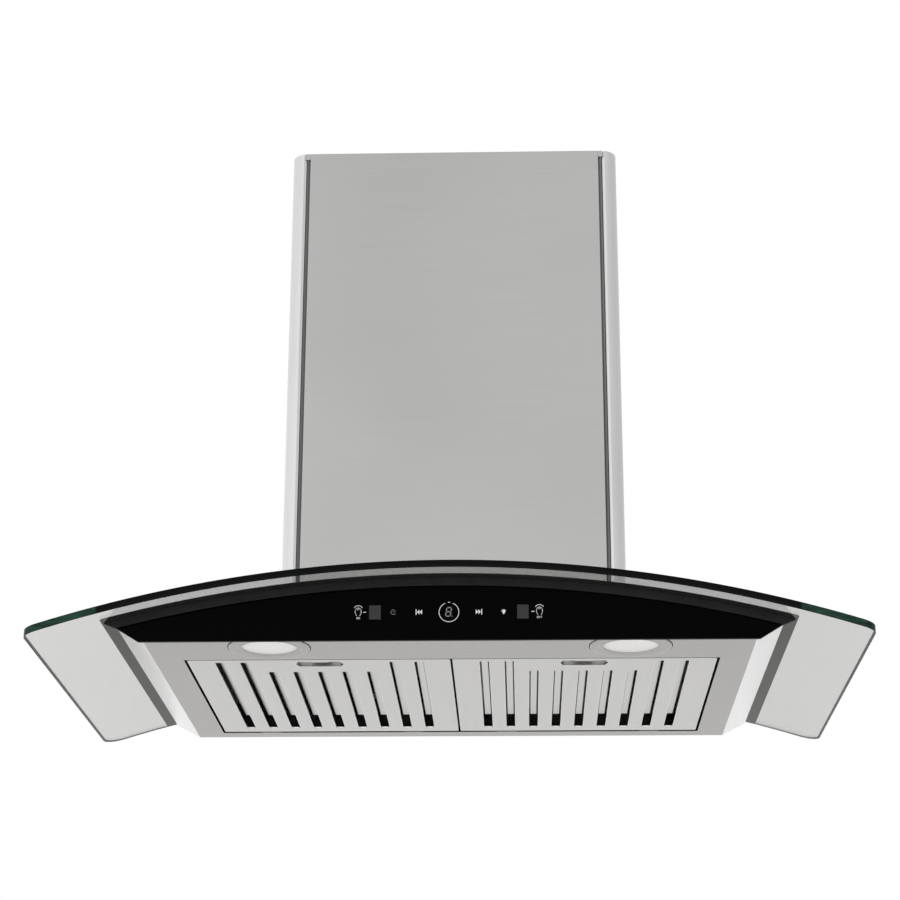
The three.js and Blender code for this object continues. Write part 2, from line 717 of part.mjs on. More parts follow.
function powerBox() {
  const { x0, x1, z0, z1, depth, wall } = power;
  const hollow = block(x0 + wall, x1 - wall, boxFace - depth - 1, boxFace - wall, z0 + wall, z1 - wall);
  const posts = [[x0 + 12, z0 + 12], [x1 - 12, z0 + 12], [x0 + 12, z1 - 12], [x1 - 12, z1 - 12]]
    .map((at) => rod("y", 3, boxFace - 7, boxFace - 1, at, 8));
  return union([block(x0, x1, boxFace - depth, boxFace, z0, z1).subtract(hollow), ...posts]);
}

function powerBoard() {
  const { x0, x1, z0, z1 } = power;
  const back = boxFace - 7 - seat;
  return union([
    block(x0 + 6, x1 - 6, back - 1.6, back, z0 + 6, z1 - 6),
    block(x0 + 16, x0 + 50, back - 15, back - 1, z0 + 24, z0 + 60), // transformer
    block(x0 + 60, x0 + 76, back - 12, back - 1, z0 + 24, z0 + 50), // relays
    block(x0 + 84, x0 + 100, back - 12, back - 1, z0 + 24, z0 + 50),
    block(x0 + 20, x1 - 20, back - 10, back - 1, z1 - 22, z1 - 12), // terminal strip
  ]);
}

function powerLid() {
  const { x0, x1, z0, z1, depth, wall } = power;
  const face = boxFace - depth - seat;
  const lid = block(x0, x1, face - 2, face, z0, z1);
  const inset = wall + seat;
  const plug = block(x0 + inset, x1 - inset, face - 1, face + 3, z0 + inset, z1 - inset)
    .subtract(block(x0 + inset + 2, x1 - inset - 2, face, face + 4, z0 + inset + 2, z1 - inset - 2));
  return lid.add(plug);
}

const capacitorCentre = [capacitor.x, boxFace - capacitor.radius - 2.5];

function runCapacitor() {
  const { radius, z0, z1 } = capacitor;
  const blades = both((side) => [side * 4 + capacitorCentre[0], capacitorCentre[1]]);
  return union([
    rod("z", radius, z0, z1, capacitorCentre, 20),
    rod("z", radius - 2, z1 - 1, z1 + 2, capacitorCentre, 20),
    ...blades.map(([x, y]) => block(x - 0.5, x + 0.5, y - 3, y + 3, z1 + 1, z1 + 11)),
  ]);
}

function capacitorClip() {
  const { radius, z0, z1 } = capacitor;
  const [low, high] = [(z0 + z1) / 2 - 9, (z0 + z1) / 2 + 9];
  const band = rod("z", radius + seat + 1.2, low, high, capacitorCentre, 20);
  const foot = block(capacitor.x - 26, capacitor.x + 26, boxFace - 1.2, boxFace, low, high);
  return band.add(foot).subtract(rod("z", radius + seat, low - 1, high + 1, capacitorCentre, 20));
}

add("power_box", powerBox(), whitePlastic);
add("power_board", powerBoard(), greenBoard);
add("power_box_lid", powerLid(), whitePlastic);
add("run_capacitor", runCapacitor(), whitePlastic);
add("capacitor_clip", capacitorClip(), zincSteel);

// ---------- the outlet with its damper ----------

const collarBase = box.top + seat;
const pinHeight = collarBase + duct.pinHeight;
const bore = duct.radius - duct.wall;

function outletCollar() {
  const pinHoles = rod(
    "y", flap.pin + seat, -duct.y - duct.radius - 5, -duct.y + duct.radius + 5, [0, pinHeight], 10,
  );
  const stop = pinHeight - flap.thickness / 2 - seat;
  return union([
    rod("z", duct.flange, collarBase, collarBase + 2, outlet, 28),
    rod("z", duct.radius, collarBase, collarBase + duct.height, outlet, 28),
  ])
    .subtract(rod("z", bore - 3.5, collarBase - 1, collarBase + duct.height + 1, outlet, 28))
    .subtract(rod("z", bore, collarBase - 1, stop - 2, outlet, 28))
    .subtract(rod("z", bore, stop, collarBase + duct.height + 1, outlet, 28))
    .subtract(pinHoles);
}

// Half a disc on knuckles that share the pin with the other flap.
function damperFlap() {
  const { thickness, knuckle, pin, length, gap } = flap;
  const half = thickness / 2;
  const disc = rod("z", bore - gap, pinHeight - half, pinHeight + half, outlet, 28);
  const keep = block(knuckle + 0.8, 200, -duct.y - 100, -duct.y + 100, 0, 900);
  const starts = [-2 * length - 1.5, 0.5].map((start) => start - duct.y);
  const knuckles = starts.map((y) =>
    rod("y", knuckle, y, y + length, [0, pinHeight], 12).add(
      block(0, knuckle + 1.5, y, y + length, pinHeight - half, pinHeight + half),
    ),
  );
  return union([disc.intersect(keep), ...knuckles]).subtract(
    rod("y", pin + seat, -duct.y - 100, -duct.y + 100, [0, pinHeight], 10),
  );
}

add("outlet_collar", outletCollar(), blackPlastic);
add(
  "damper_pin",
  rod("y", flap.pin, -duct.y - duct.radius + 0.5, -duct.y + duct.radius - 0.5, [0, pinHeight], 10),
  brightSteel,
);
add("damper_flap_right", damperFlap(), greyPlastic);
// the left flap is the right one turned round the outlet, so their knuckles interleave
const leftFlap = add("damper_flap_left", damperFlap(), greyPlastic);
leftFlap.rotation.z = Math.PI;
leftFlap.position.y = -2 * duct.y;

// ---------- the chimney cover ----------

const coverBottom = glass.thickness + 0.5;
const standsOnGlass = prism(underArch(cover.width, coverBottom, -100), "y", -400, 50);
const coverHalf = cover.width / 2;
const plateHalf = cover.plate / 2;
const screwHeight = bracket.top - bracket.height / 2;

function screwHole(radius) {
  return rod("x", radius, 100, 300, [-bracket.y, screwHeight], 10);
}

// Flat front plate with folded sides; a lip at its top closes each groove.
function coverFront() {
  const { front, fold, sheet, top, groove } = cover;
  const path = [
    [-plateHalf, -front + fold],
    [-plateHalf, -front],
    [plateHalf, -front],
    [plateHalf, -front + fold],
  ];
  const plateSheet = prism(bentSheet(path, sheet), "z", 40, top).subtract(standsOnGlass);
  const lips = both((side) => {
    const ends = [plateHalf - sheet / 2, plateHalf + groove - seat].map((x) => side * x);
    return block(Math.min(...ends), Math.max(...ends), -front, -front + sheet, top - grooveLip, top);
  });
  return union([plateSheet, ...lips]);
}

// Rounded corner column with the side wall: a rebate behind the front plate, the groove, the
// quarter round, the side and a fold along the wall.
function coverSide() {
  const { front, corner, sheet, top, groove, fold } = cover;
  const start = plateHalf + groove;
  const centre = [coverHalf - corner, -front + corner];
  const startAngle = THREE.MathUtils.radToDeg(Math.asin((start - centre[0]) / corner)) - 90;
  const path = [
    [plateHalf - 12, -front + fold + seat],
    [start, -front + fold + seat],
    ...arc(centre, corner, startAngle, 0, 8),
    [coverHalf, -glass.wallGap],
    [coverHalf - 14, -glass.wallGap],
  ];
  return prism(bentSheet(path, sheet), "z", 40, top)
    .subtract(standsOnGlass)
    .subtract(screwHole(bracket.screw + seat));
}

function upperCover() {
  const { width, front, corner, sheet, back, fold, top } = upper;
  const half = width / 2;
  const path = [
    [-half + fold, -back],
    [-half, -back],
    ...arc([-half + corner, -front + corner], corner, 180, 270, 6),
    ...arc([half - corner, -front + corner], corner, 270, 360, 6),
    [half, -back],
    [half - fold, -back],
  ];
  return prism(bentSheet(path, sheet), "z", bracket.top + seat, top);
}

// U-shaped bracket between the blower box and the side of the cover; the upper cover stands on it.
function coverBracket() {
  const { top, height, sheet, y, length } = bracket;
  const [inner, outer] = [boxHalf + seat, coverHalf - cover.sheet - seat];
  const path = [[outer, top - height], [outer, top], [inner, top], [inner, top - height]];
  return prism(bentSheet(path, sheet), "y", -y - length / 2, -y + length / 2).subtract(
    screwHole(bracket.screw + seat),
  );
}

function coverScrew() {
  const at = [-bracket.y, screwHeight];
  const start = coverHalf + seat;
  return rod("x", 4.2, start, start + 2, at, 12).add(rod("x", bracket.screw, start - 7, start + 1, at, 8));
}

add("chimney_front", coverFront(), steel);
addPair("chimney_side", coverSide(), brightSteel);
add("chimney_upper", upperCover(), steel);
addPair("chimney_bracket", coverBracket(), zincSteel);
addPair("chimney_screw", coverScrew(), brightSteel);

export default hood;
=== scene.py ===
import json
import math

import bmesh
import bpy
from mathutils import Matrix, Vector


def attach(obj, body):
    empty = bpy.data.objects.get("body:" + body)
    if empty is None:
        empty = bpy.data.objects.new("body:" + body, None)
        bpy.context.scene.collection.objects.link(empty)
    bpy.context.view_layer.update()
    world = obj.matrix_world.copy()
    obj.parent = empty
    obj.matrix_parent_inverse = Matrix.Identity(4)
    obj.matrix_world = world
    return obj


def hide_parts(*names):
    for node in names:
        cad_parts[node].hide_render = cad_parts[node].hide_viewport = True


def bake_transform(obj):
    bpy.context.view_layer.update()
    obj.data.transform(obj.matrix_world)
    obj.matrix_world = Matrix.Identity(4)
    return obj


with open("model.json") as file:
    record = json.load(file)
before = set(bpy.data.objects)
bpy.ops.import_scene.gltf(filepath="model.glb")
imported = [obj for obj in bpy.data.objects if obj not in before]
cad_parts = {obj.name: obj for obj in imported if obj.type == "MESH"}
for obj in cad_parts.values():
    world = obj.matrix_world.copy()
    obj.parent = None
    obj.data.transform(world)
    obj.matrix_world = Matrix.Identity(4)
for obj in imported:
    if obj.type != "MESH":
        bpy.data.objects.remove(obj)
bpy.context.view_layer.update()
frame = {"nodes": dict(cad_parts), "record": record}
nodes = frame["nodes"]
mm = 0.001
hangHeight = 360  # mm from the underside of the body up to the origin on the wall

print("stage: camera, light and floor")

camera = {
    "focalPixels": 2255.46,
    "imagePixels": 900,
    "place": (0.07729, -2.80736, -1.00844),
    "yaw": -1.868,  # degrees, to the left
    "pitch": 20.234,  # looking up
    "roll": 0.176,
}
studio = {
    # brightness by the height of the direction, from straight down (0) to straight up (1)
    "byHeight": [
        (0.0, 0.8), (0.38, 0.8), (0.43, 1.3), (0.55, 1.3), (0.62, 0.86), (0.7, 0.74), (1.0, 0.9),
    ],
    # share of it by the direction's side, from the left (0) to the right (1)
    "bySide": [
        (0.0, 1.1), (0.2, 1.2), (0.38, 1.05), (0.47, 0.92), (0.53, 0.92), (0.64, 1.12), (0.82, 0.86),
        (1.0, 0.76),
    ],
    "boxes": [
        # name, place, aim, width, height in metres, watts
        ("leftBox", (-3.0, -3.6, 1.4), (-0.1, -0.3, 0.0), 2.4, 2.4, 30),
        ("topBox", (0.0, -1.2, 3.2), (0.0, -0.2, 0.0), 2.4, 2.0, 40),
    ],
}
floorSheet = {"height": -1.75, "half": 9.0, "dark": "#cfcecc", "light": "#dbdad8"}


def linear(hexColour):  # sRGB hex to scene-linear
    parts = [int(hexColour[i : i + 2], 16) / 255 for i in (1, 3, 5)]
    return (*[c / 12.92 if c <= 0.04045 else ((c + 0.055) / 1.055) ** 2.4 for c in parts], 1.0)


def addNode(tree, kind, inputs=None, **settings):  # sets values, or links sockets
    node = tree.nodes.new(kind)
    for key, value in settings.items():
        setattr(node, key, value)
    for key, value in (inputs or {}).items():
        if isinstance(value, bpy.types.NodeSocket):
            tree.links.new(value, node.inputs[key])
        else:
            node.inputs[key].default_value = value
    return node


def link(thing):
    bpy.context.scene.collection.objects.link(thing)
    return thing


def makeCamera():
    yaw, pitch, roll = (math.radians(camera[k]) for k in ("yaw", "pitch", "roll"))
    ahead = Vector((math.sin(yaw) * math.cos(pitch), math.cos(yaw) * math.cos(pitch), math.sin(pitch)))
    right = Vector((math.cos(yaw), -math.sin(yaw), 0))
    up = right.cross(ahead)
    turnedRight = right * math.cos(roll) + up * math.sin(roll)
    turnedUp = up * math.cos(roll) - right * math.sin(roll)
    data = bpy.data.cameras.new("camera")
    data.sensor_width = 36
    data.lens = camera["focalPixels"] * data.sensor_width / camera["imagePixels"]
    data.clip_end = 50
    thing = link(bpy.data.objects.new("camera", data))
    axes = Matrix((turnedRight, turnedUp, -ahead)).transposed().to_4x4()
    thing.matrix_world = Matrix.Translation(camera["place"]) @ axes
    bpy.context.scene.camera = thing


def makeStudio():
    world = bpy.data.worlds.new("studio")
    bpy.context.scene.world = world
    world.use_nodes = True
    tree = world.node_tree
    tree.nodes.clear()
    direction = addNode(tree, "ShaderNodeTexCoord").outputs["Generated"]
    parts = addNode(tree, "ShaderNodeSeparateXYZ", {"Vector": direction}).outputs
    tones = []
    for axis, name in (("Z", "byHeight"), ("X", "bySide")):
        share = addNode(tree, "ShaderNodeMapRange", {"Value": parts[axis], "From Min": -1.0})
        ramp = addNode(tree, "ShaderNodeValToRGB", {"Fac": share.outputs["Result"]})
        ramp.color_ramp.interpolation = "EASE"
        stops = ramp.color_ramp.elements
        for i, (place, value) in enumerate(studio[name]):
            stop = stops[i] if i < 2 else stops.new(place)
            stop.position = place
            stop.color = (value, value, value, 1)
        tones.append(ramp.outputs["Color"])
    tone = addNode(tree, "ShaderNodeMath", dict(enumerate(tones)), operation="MULTIPLY")
    around = addNode(tree, "ShaderNodeBackground", {"Color": tone.outputs["Value"]})
    behind = addNode(tree, "ShaderNodeBackground", {"Color": (1, 1, 1, 1)})
    isCamera = addNode(tree, "ShaderNodeLightPath").outputs["Is Camera Ray"]
    mixed = addNode(
        tree, "ShaderNodeMixShader",
        {0: isCamera, 1: around.outputs["Background"], 2: behind.outputs["Background"]},
    )
    addNode(tree, "ShaderNodeOutputWorld", {"Surface": mixed.outputs["Shader"]})
    for name, place, aim, width, height, watts in studio["boxes"]:
        data = bpy.data.lights.new(name, "AREA")
        data.shape = "RECTANGLE"
        data.size, data.size_y, data.energy = width, height, watts
        thing = link(bpy.data.objects.new(name, data))
        thing.location = place
        thing.rotation_euler = (Vector(aim) - Vector(place)).to_track_quat("-Z", "Z").to_euler()
        thing.visible_glossy = False  # the steel mirrors the soft surroundings, not the boxes
    bpy.context.scene.view_settings.view_transform = "Standard"


makeCamera()
makeStudio()

print("stage: materials")


def newMaterial(name):
    material = bpy.data.materials.new(name)
    material.use_nodes = True
    tree = material.node_tree
    return material, tree, tree.nodes["Principled BSDF"]


def grain(tree, alongMm, acrossMm, axis="x", detail=3.0):  # streaks along an axis, or even specks
    place = addNode(tree, "ShaderNodeTexCoord").outputs["Object"]
    scale = [1 / (acrossMm * mm)] * 3
    scale["xyz".index(axis)] = 1 / (alongMm * mm)
    stretched = addNode(tree, "ShaderNodeMapping", {"Vector": place, "Scale": scale})
    return addNode(
        tree, "ShaderNodeTexNoise",
        {"Vector": stretched.outputs["Vector"], "Scale": 1.0, "Detail": detail, "Roughness": 0.6},
    ).outputs["Fac"]


def spread(tree, value, low, high):  # noise stays mostly between 0.3 and 0.7
    inputs = {"Value": value, "From Min": 0.3, "From Max": 0.7, "To Min": low, "To Max": high}
    return addNode(tree, "ShaderNodeMapRange", inputs).outputs["Result"]


def between(tree, share, dark, light):
    ends = [c if isinstance(c, bpy.types.NodeSocket) else linear(c) for c in (dark, light)]
    mix = addNode(tree, "ShaderNodeMix", {0: share, 6: ends[0], 7: ends[1]}, data_type="RGBA")
    return mix.outputs[2]


def joinUp(tree, shader, colour, roughness, bump=None, strength=0.1, depthMm=0.05, **sockets):
    tree.links.new(colour, shader.inputs["Base Color"])
    tree.links.new(roughness, shader.inputs["Roughness"])
    if bump is not None:
        heights = {"Height": bump, "Strength": strength, "Distance": depthMm * mm}
        tree.links.new(addNode(tree, "ShaderNodeBump", heights).outputs["Normal"], shader.inputs["Normal"])
    for name, value in sockets.items():
        shader.inputs[name.replace("_", " ")].default_value = value


def brushedSteel(name, dark, light, axis, roughness, bump=0.12):
    # stainless sheet, belt brushed: fine parallel lines that blur reflections along one way
    material, tree, shader = newMaterial(name)
    # real lines are 0.1 mm wide; drawn 1.1 mm wide so that they show in the render
    lines = grain(tree, 140, 1.1, axis)
    clouds = grain(tree, 260, 260, axis, 1.0)
    lineShare, cloudShare = spread(tree, lines, 0.0, 0.45), spread(tree, clouds, 0.0, 0.55)
    share = addNode(tree, "ShaderNodeMath", {0: lineShare, 1: cloudShare}, operation="ADD")
    colour = between(tree, share.outputs["Value"], dark, light)
    joinUp(tree, shader, colour, spread(tree, lines, *roughness), lines, bump, 0.04, Metallic=1.0)
    return material


# mm in the part's own frame: the box inside the body that is painted dark as shade, and the colour of that
# painted shade
shellShadeBox = {"above": -359.0, "half": 329.8, "front": -476.8, "back": -1.2, "colour": "#242424"}


def paintInsideShade(material):
    # painted shade: the inside of the body is dull and unlit, and its colour is painted dark there, so it
    # shows as dark through the slots and gaps
    tree, shader = material.node_tree, material.node_tree.nodes["Principled BSDF"]
    place = addNode(tree, "ShaderNodeTexCoord").outputs["Object"]
    parts = addNode(tree, "ShaderNodeSeparateXYZ", {"Vector": place}).outputs
    s = shellShadeBox
    across = addNode(tree, "ShaderNodeMath", {0: parts["X"]}, operation="ABSOLUTE").outputs["Value"]
    tests = [
        (across, "LESS_THAN", s["half"]), (parts["Y"], "GREATER_THAN", s["front"]),
        (parts["Y"], "LESS_THAN", s["back"]), (parts["Z"], "GREATER_THAN", s["above"]),
    ]
    inside = None
    for value, way, limit in tests:
        test = addNode(tree, "ShaderNodeMath", {0: value, 1: limit * mm}, operation=way).outputs["Value"]
        if inside is not None:
            both = {0: inside, 1: test}
            test = addNode(tree, "ShaderNodeMath", both, operation="MULTIPLY").outputs["Value"]
        inside = test
    outer = shader.inputs["Base Color"].links[0].from_socket
    tree.links.new(between(tree, inside, outer, s["colour"]), shader.inputs["Base Color"])


def speckled(name, dark, light, roughness, metallic, speckMm, bump):
    # moulded, cast or coated: a fine even speckle that breaks up the gloss
    material, tree, shader = newMaterial(name)
    # real grit is about 0.1 mm wide; drawn at the width given, 0.6 mm or more, so that it can show
    speck = grain(tree, speckMm, speckMm, "x", 4.0)
    patches = grain(tree, speckMm * 30, speckMm * 30, "x", 2.0)
    colour = between(tree, spread(tree, patches, 0.0, 1.0), dark, light)
    joinUp(tree, shader, colour, spread(tree, speck, *roughness), speck, bump, 0.1, Metallic=metallic)
    return material


def temperedGlass():
    # tempered soda-lime glass: clear and nearly colourless, mirror smooth
    material, tree, shader = newMaterial("tempered clear glass")
    haze = grain(tree, 180, 180, "x", 1.0)  # the slow wave that rolling leaves
    colour = between(tree, haze, "#e2e2e1", "#e9e9e8")
    joinUp(tree, shader, colour, spread(tree, haze, 0.0, 0.02), IOR=1.52, Transmission_Weight=1.0)
    return material


edgeTones = {
    # mm where the tone changes, from over the print to clear, and from the front to the sides
    "print": 371, "clear": 374, "front": -518, "sides": -505,
    # overPrint paints in the black print that shows through the edge; atSides is a grey painted for the light
    # the edge shows at the sides
    "dark": "#0f1c17", "light": "#294a3d", "overPrint": "#060807", "atSides": "#2c2f2e",
}


def glassEdge():
    # ground and polished edge: dark green at the front; painted black where the print shows through it, and
    # painted grey at the sides for the light that it shows there
    e = edgeTones
    material, tree, shader = newMaterial("polished glass edge")
    place = addNode(tree, "ShaderNodeTexCoord").outputs["Object"]
    parts = addNode(tree, "ShaderNodeSeparateXYZ", {"Vector": place}).outputs
    side = addNode(tree, "ShaderNodeMath", {0: parts["X"]}, operation="ABSOLUTE").outputs["Value"]
    ends = {
        "Value": side, "From Min": e["print"] * mm, "From Max": e["clear"] * mm, "To Min": 1.0, "To Max": 0.0,
    }
    overPrint = addNode(tree, "ShaderNodeMapRange", ends).outputs["Result"]
    rear = {"Value": parts["Y"], "From Min": e["front"] * mm, "From Max": e["sides"] * mm}
    behind = addNode(tree, "ShaderNodeMapRange", rear).outputs["Result"]
    tone = spread(tree, grain(tree, 24, 4, "x", 2.0), 0.0, 1.0)
    front = between(tree, overPrint, between(tree, tone, e["dark"], e["light"]), e["overPrint"])
    colour = between(tree, behind, front, e["atSides"])
    joinUp(tree, shader, colour, spread(tree, tone, 0.06, 0.14), IOR=1.52, Specular_IOR_Level=0.08)
    return material


def firedPrint(name, dark, light, roughness, specular):
    # ceramic ink fired under glass: deep black and mirror smooth
    material, tree, shader = newMaterial(name)
    dust = grain(tree, 3, 3, "x", 4.0)  # real specks are 0.05 mm; drawn 3 mm wide so that they can show
    colour = between(tree, dust, dark, light)
    rough = spread(tree, dust, roughness * 0.8, roughness * 1.2)
    joinUp(tree, shader, colour, rough, IOR=1.52, Specular_IOR_Level=specular)
    return material


def printedInk(name, faded, full):
    # screen-printed ink seen through the panel's glass: flat, matt and a little uneven
    material, tree, shader = newMaterial(name)
    uneven = grain(tree, 0.8, 0.8, "x", 2.0)  # the screen's mesh is 0.1 mm; drawn 0.8 mm so that it can show
    colour = between(tree, uneven, faded, full)
    joinUp(tree, shader, colour, spread(tree, uneven, 0.45, 0.6), Specular_IOR_Level=0.1)
    return material


def opalLensPaintedGlow():
    # opal acrylic over small lamps that are off: milky, with a soft gloss, and a faint painted glow though
    # the lamps are off
    material, tree, shader = newMaterial("frosted opal acrylic with painted glow")
    grit = grain(tree, 1.2, 1.2, "x", 3.0)  # real grit is 0.05 mm; drawn 1.2 mm wide so that it can show
    colour = between(tree, grit, "#ebebea", "#f4f4f3")
    # painted light: the lens glows with its own colour
    joinUp(tree, shader, colour, spread(tree, grit, 0.3, 0.42), IOR=1.49, Emission_Strength=0.16)
    tree.links.new(colour, shader.inputs["Emission Color"])
    return material


# stainless sheet in its several finishes
# cover's front plate: an even soft grey, with faint level streaks
steelPlate = brushedSteel("brushed stainless plate", "#c0c0bf", "#cacac9", "x", (0.3, 0.36), 0.06)
# body and lamp rings: a little glossier, so that they carry soft reflections
steelBody = brushedSteel("brushed stainless body", "#bfbebe", "#c9c8c8", "x", (0.2, 0.28), 0.08)
# rounded columns: brushed upright, so that light runs down them as a band, and painted brighter than the
# plate's same steel as painted light
steelColumnPaintedBright = brushedSteel("stainless column painted bright", "#dcdcdc", "#e8e8e8", "z", (0.3, 0.38), 0.06)
# floors of the cover's grooves: the same steel painted dark grey as the shade where no light reaches, so a
# dark grey line
steelGroovePaintedShade = brushedSteel("steel painted with the shade of a groove", "#747474", "#828282", "z", (0.4, 0.5), 0.05)
# filter sheets: polished, the brightest faces of the underside
steelFilter = brushedSteel("polished filter steel", "#e8e8e8", "#f0f0f0", "y", (0.16, 0.24), 0.05)
# body shell: the body's sheet, with painted shade where it faces the inside
shellSteelWithShade = brushedSteel("brushed stainless shell with painted shade inside", "#bfbebe", "#c9c8c8", "x", (0.2, 0.28), 0.08)
paintInsideShade(shellSteelWithShade)
# backs of the filter sheets: left satin, so they glow softly between the slots
steelInside = brushedSteel("satin steel inside the filter", "#dedede", "#eaeaea", "y", (0.4, 0.5), 0.05)
# latches, springs, bolts and pins: small bright metal with crisp highlights
steelSmall = brushedSteel("turned bright steel", "#cfcfd0", "#e0e0e0", "x", (0.16, 0.24), 0.05)
# motor box: a cool grey, clouded by the crystals of the zinc
zincSheet = speckled("zinc coated sheet", "#8d9194", "#a9adaf", (0.38, 0.52), 1.0, 2.2, 0.15)
# backs and inner faces that hardly see light: painted nearly black as their shade, without gloss
paintedShadeSheet = speckled("inner faces painted with shade", "#242424", "#303030", (0.55, 0.7), 0.3, 2.0, 0.1)
# motor ends: pale matt metal with the fine pits of the mould
castAlloy = speckled("die cast aluminium", "#9c9ea0", "#b2b4b6", (0.42, 0.58), 1.0, 0.8, 0.3)
# ABS and polypropylene mouldings: a fine spark-eroded texture that keeps highlights broad
blackPlastic = speckled("moulded black plastic", "#151516", "#1f1f21", (0.42, 0.55), 0.0, 0.7, 0.2)
greyPlastic = speckled("moulded grey polypropylene", "#66696c", "#74777a", (0.45, 0.58), 0.0, 0.7, 0.2)
whitePlastic = speckled("moulded white plastic", "#dcdcd8", "#e8e8e4", (0.32, 0.42), 0.0, 0.8, 0.1)
# seals: dull black with a faint bloom
blackRubber = speckled("extruded black rubber", "#131313", "#1e1e1e", (0.7, 0.85), 0.0, 0.6, 0.3)
# printed boards: green lacquer over fibreglass, half glossy
circuitBoard = speckled("green solder mask", "#17492d", "#216a40", (0.25, 0.4), 0.0, 2.5, 0.15)
clearGlass = temperedGlass()
groundEdge = glassEdge()
# under the canopy the ink looks charcoal, behind the panel's glass it is fully black
canopyPrint = firedPrint("fired black print", "#272727", "#2d2d2d", 0.05, 0.3)
panelGlass = firedPrint("black panel glass", "#000000", "#030303", 0.04, 0.03)
opalAcrylicPaintedGlow = opalLensPaintedGlow()
# keys in white, clock and digit dimmer, and the dark windows of the two sensors
whiteInk = printedInk("white panel ink", "#d0d0d0", "#f2f2f2")
greyInk = printedInk("grey panel ink", "#747474", "#8c8c8c")
sensorInk = printedInk("infrared window ink", "#383838", "#404040")

slotMaterials = {
    "brushed_steel": steelBody,
    "bright_steel": steelSmall,
    "zinc_steel": zincSheet,
    "clear_glass": clearGlass,
    "black_glass": panelGlass,
    "black_rubber": blackRubber,
    "black_plastic": blackPlastic,
    "grey_plastic": greyPlastic,
    "white_plastic": whitePlastic,
    "frosted_plastic": opalAcrylicPaintedGlow,
    "circuit_board": circuitBoard,
    "cast_aluminium": castAlloy,
}

print("stage: shapes")

arch = {"radius": 1430, "crown": 63, "step": 7.5}  # underside of the glass


def archHeight(x, lift=0.0):
    return arch["crown"] - arch["radius"] + math.sqrt((arch["radius"] + lift) ** 2 - x * x)


def arcPoints(centre, radius, fromDegrees, toDegrees, steps):
    angles = [math.radians(fromDegrees + (toDegrees - fromDegrees) * i / steps) for i in range(steps + 1)]
    return [(centre[0] + radius * math.cos(a), centre[1] + radius * math.sin(a)) for a in angles]


def roundedRectangle(x0, x1, y0, y1, front, back=None, steps=6):
    back = front if back is None else back
    return [
        *arcPoints((x1 - front, y0 + front), front, -90, 0, steps),
        *arcPoints((x1 - back, y1 - back), back, 0, 90, steps),
        *arcPoints((x0 + back, y1 - back), back, 90, 180, steps),
        *arcPoints((x0 + front, y0 + front), front, 180, 270, steps),
    ]


def circlePoints(centre, radius, count):
    return arcPoints(centre, radius, 0, 360, count)[:-1]


def addLoop(bm, points):  # points are (x, y, z) in mm, with z above the body's underside
    return [bm.verts.new((x * mm, y * mm, (z - hangHeight) * mm)) for x, y, z in points]


def bridge(bm, first, second, skip=()):
    for i, vert in enumerate(first):
        j = (i + 1) % len(first)
        if i not in skip:
            bm.faces.new((vert, first[j], second[j], second[i]))


def closedPrism(bm, low, high):
    bm.faces.new(low)
    bm.faces.new(high)
    bridge(bm, low, high)


def fillFlat(bm, loops):  # one flat region with holes: first loop outside, the others inside
    pairs = [pair for loop in loops for pair in zip(loop, loop[1:] + loop[:1])]
    edges = [bm.edges.get(pair) or bm.edges.new(pair) for pair in pairs]
    bmesh.ops.triangle_fill(bm, edges=edges, use_beauty=True)


def sheetMetal(bm, thicknessMm):  # turns an open pressed sheet into a closed one, on its upper side
    bmesh.ops.recalc_face_normals(bm, faces=bm.faces)
    flat = max(bm.faces, key=lambda f: f.calc_area() if abs(f.normal.z) > 0.99 else 0)
    if flat.normal.z > 0:
        bmesh.ops.reverse_faces(bm, faces=bm.faces)
    shown = set(bm.faces)
    bmesh.ops.solidify(bm, geom=list(bm.faces), thickness=thicknessMm * mm)
    bm.normal_update()
    for face in bm.faces:  # 0 on the shown side, 1 on its flat back, 2 on the back of its edges
        back = 1 if abs(face.normal.z) > 0.5 else 2
        face.material_index = 0 if face in shown else back


def flatFacesFirst(thing):  # the large flat faces set the shading at the corners that they share
    weighted = thing.modifiers.new("shading", "WEIGHTED_NORMAL")
    weighted.mode = "FACE_AREA"
    weighted.weight = 80
    weighted.keep_sharp = True


def addPiece(name, bm, body, slotName, materials, replaced=(), bevel=0.0, smooth=35):
    bmesh.ops.recalc_face_normals(bm, faces=bm.faces)
    mesh = bpy.data.meshes.new(name)
    bm.to_mesh(mesh)
    bm.free()
    for material in materials:
        mesh.materials.append(material)
    thing = link(bpy.data.objects.new(name, mesh))
    if bevel:
        edges = thing.modifiers.new("edges", "BEVEL")
        edges.width = bevel * mm
        edges.segments = 3
        edges.limit_method = "ANGLE"
        edges.angle_limit = math.radians(smooth)
        bpy.context.view_layer.update()
        evaluated = thing.evaluated_get(bpy.context.evaluated_depsgraph_get())
        rounded = bpy.data.meshes.new_from_object(evaluated)
        thing.modifiers.clear()
        thing.data = rounded
    for polygon in thing.data.polygons:
        polygon.use_smooth = True
    thing.data.set_sharp_from_angle(angle=math.radians(smooth))
    flatFacesFirst(thing)
    if isinstance(body, str):
        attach(thing, body)
    else:  # it stands between two bodies, so it is left in place unattached
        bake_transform(thing)
    if replaced:
        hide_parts(*replaced)
    return thing


def mirrored(points, side):  # mirror image in x, with the loop still turning the same way
    return points if side > 0 else [(-p[0], *p[1:]) for p in reversed(points)]


def levelLoop(bm, plan, z, side):
    return addLoop(bm, mirrored([(x, y, z) for x, y in plan], side))


def uprightBar(bm, plan, low, high, side):
    closedPrism(bm, *[levelLoop(bm, plan, z, side) for z in (low, high)])


sides = [("right", 1), ("left", -1)]

print("stage: canopy glass and its print")

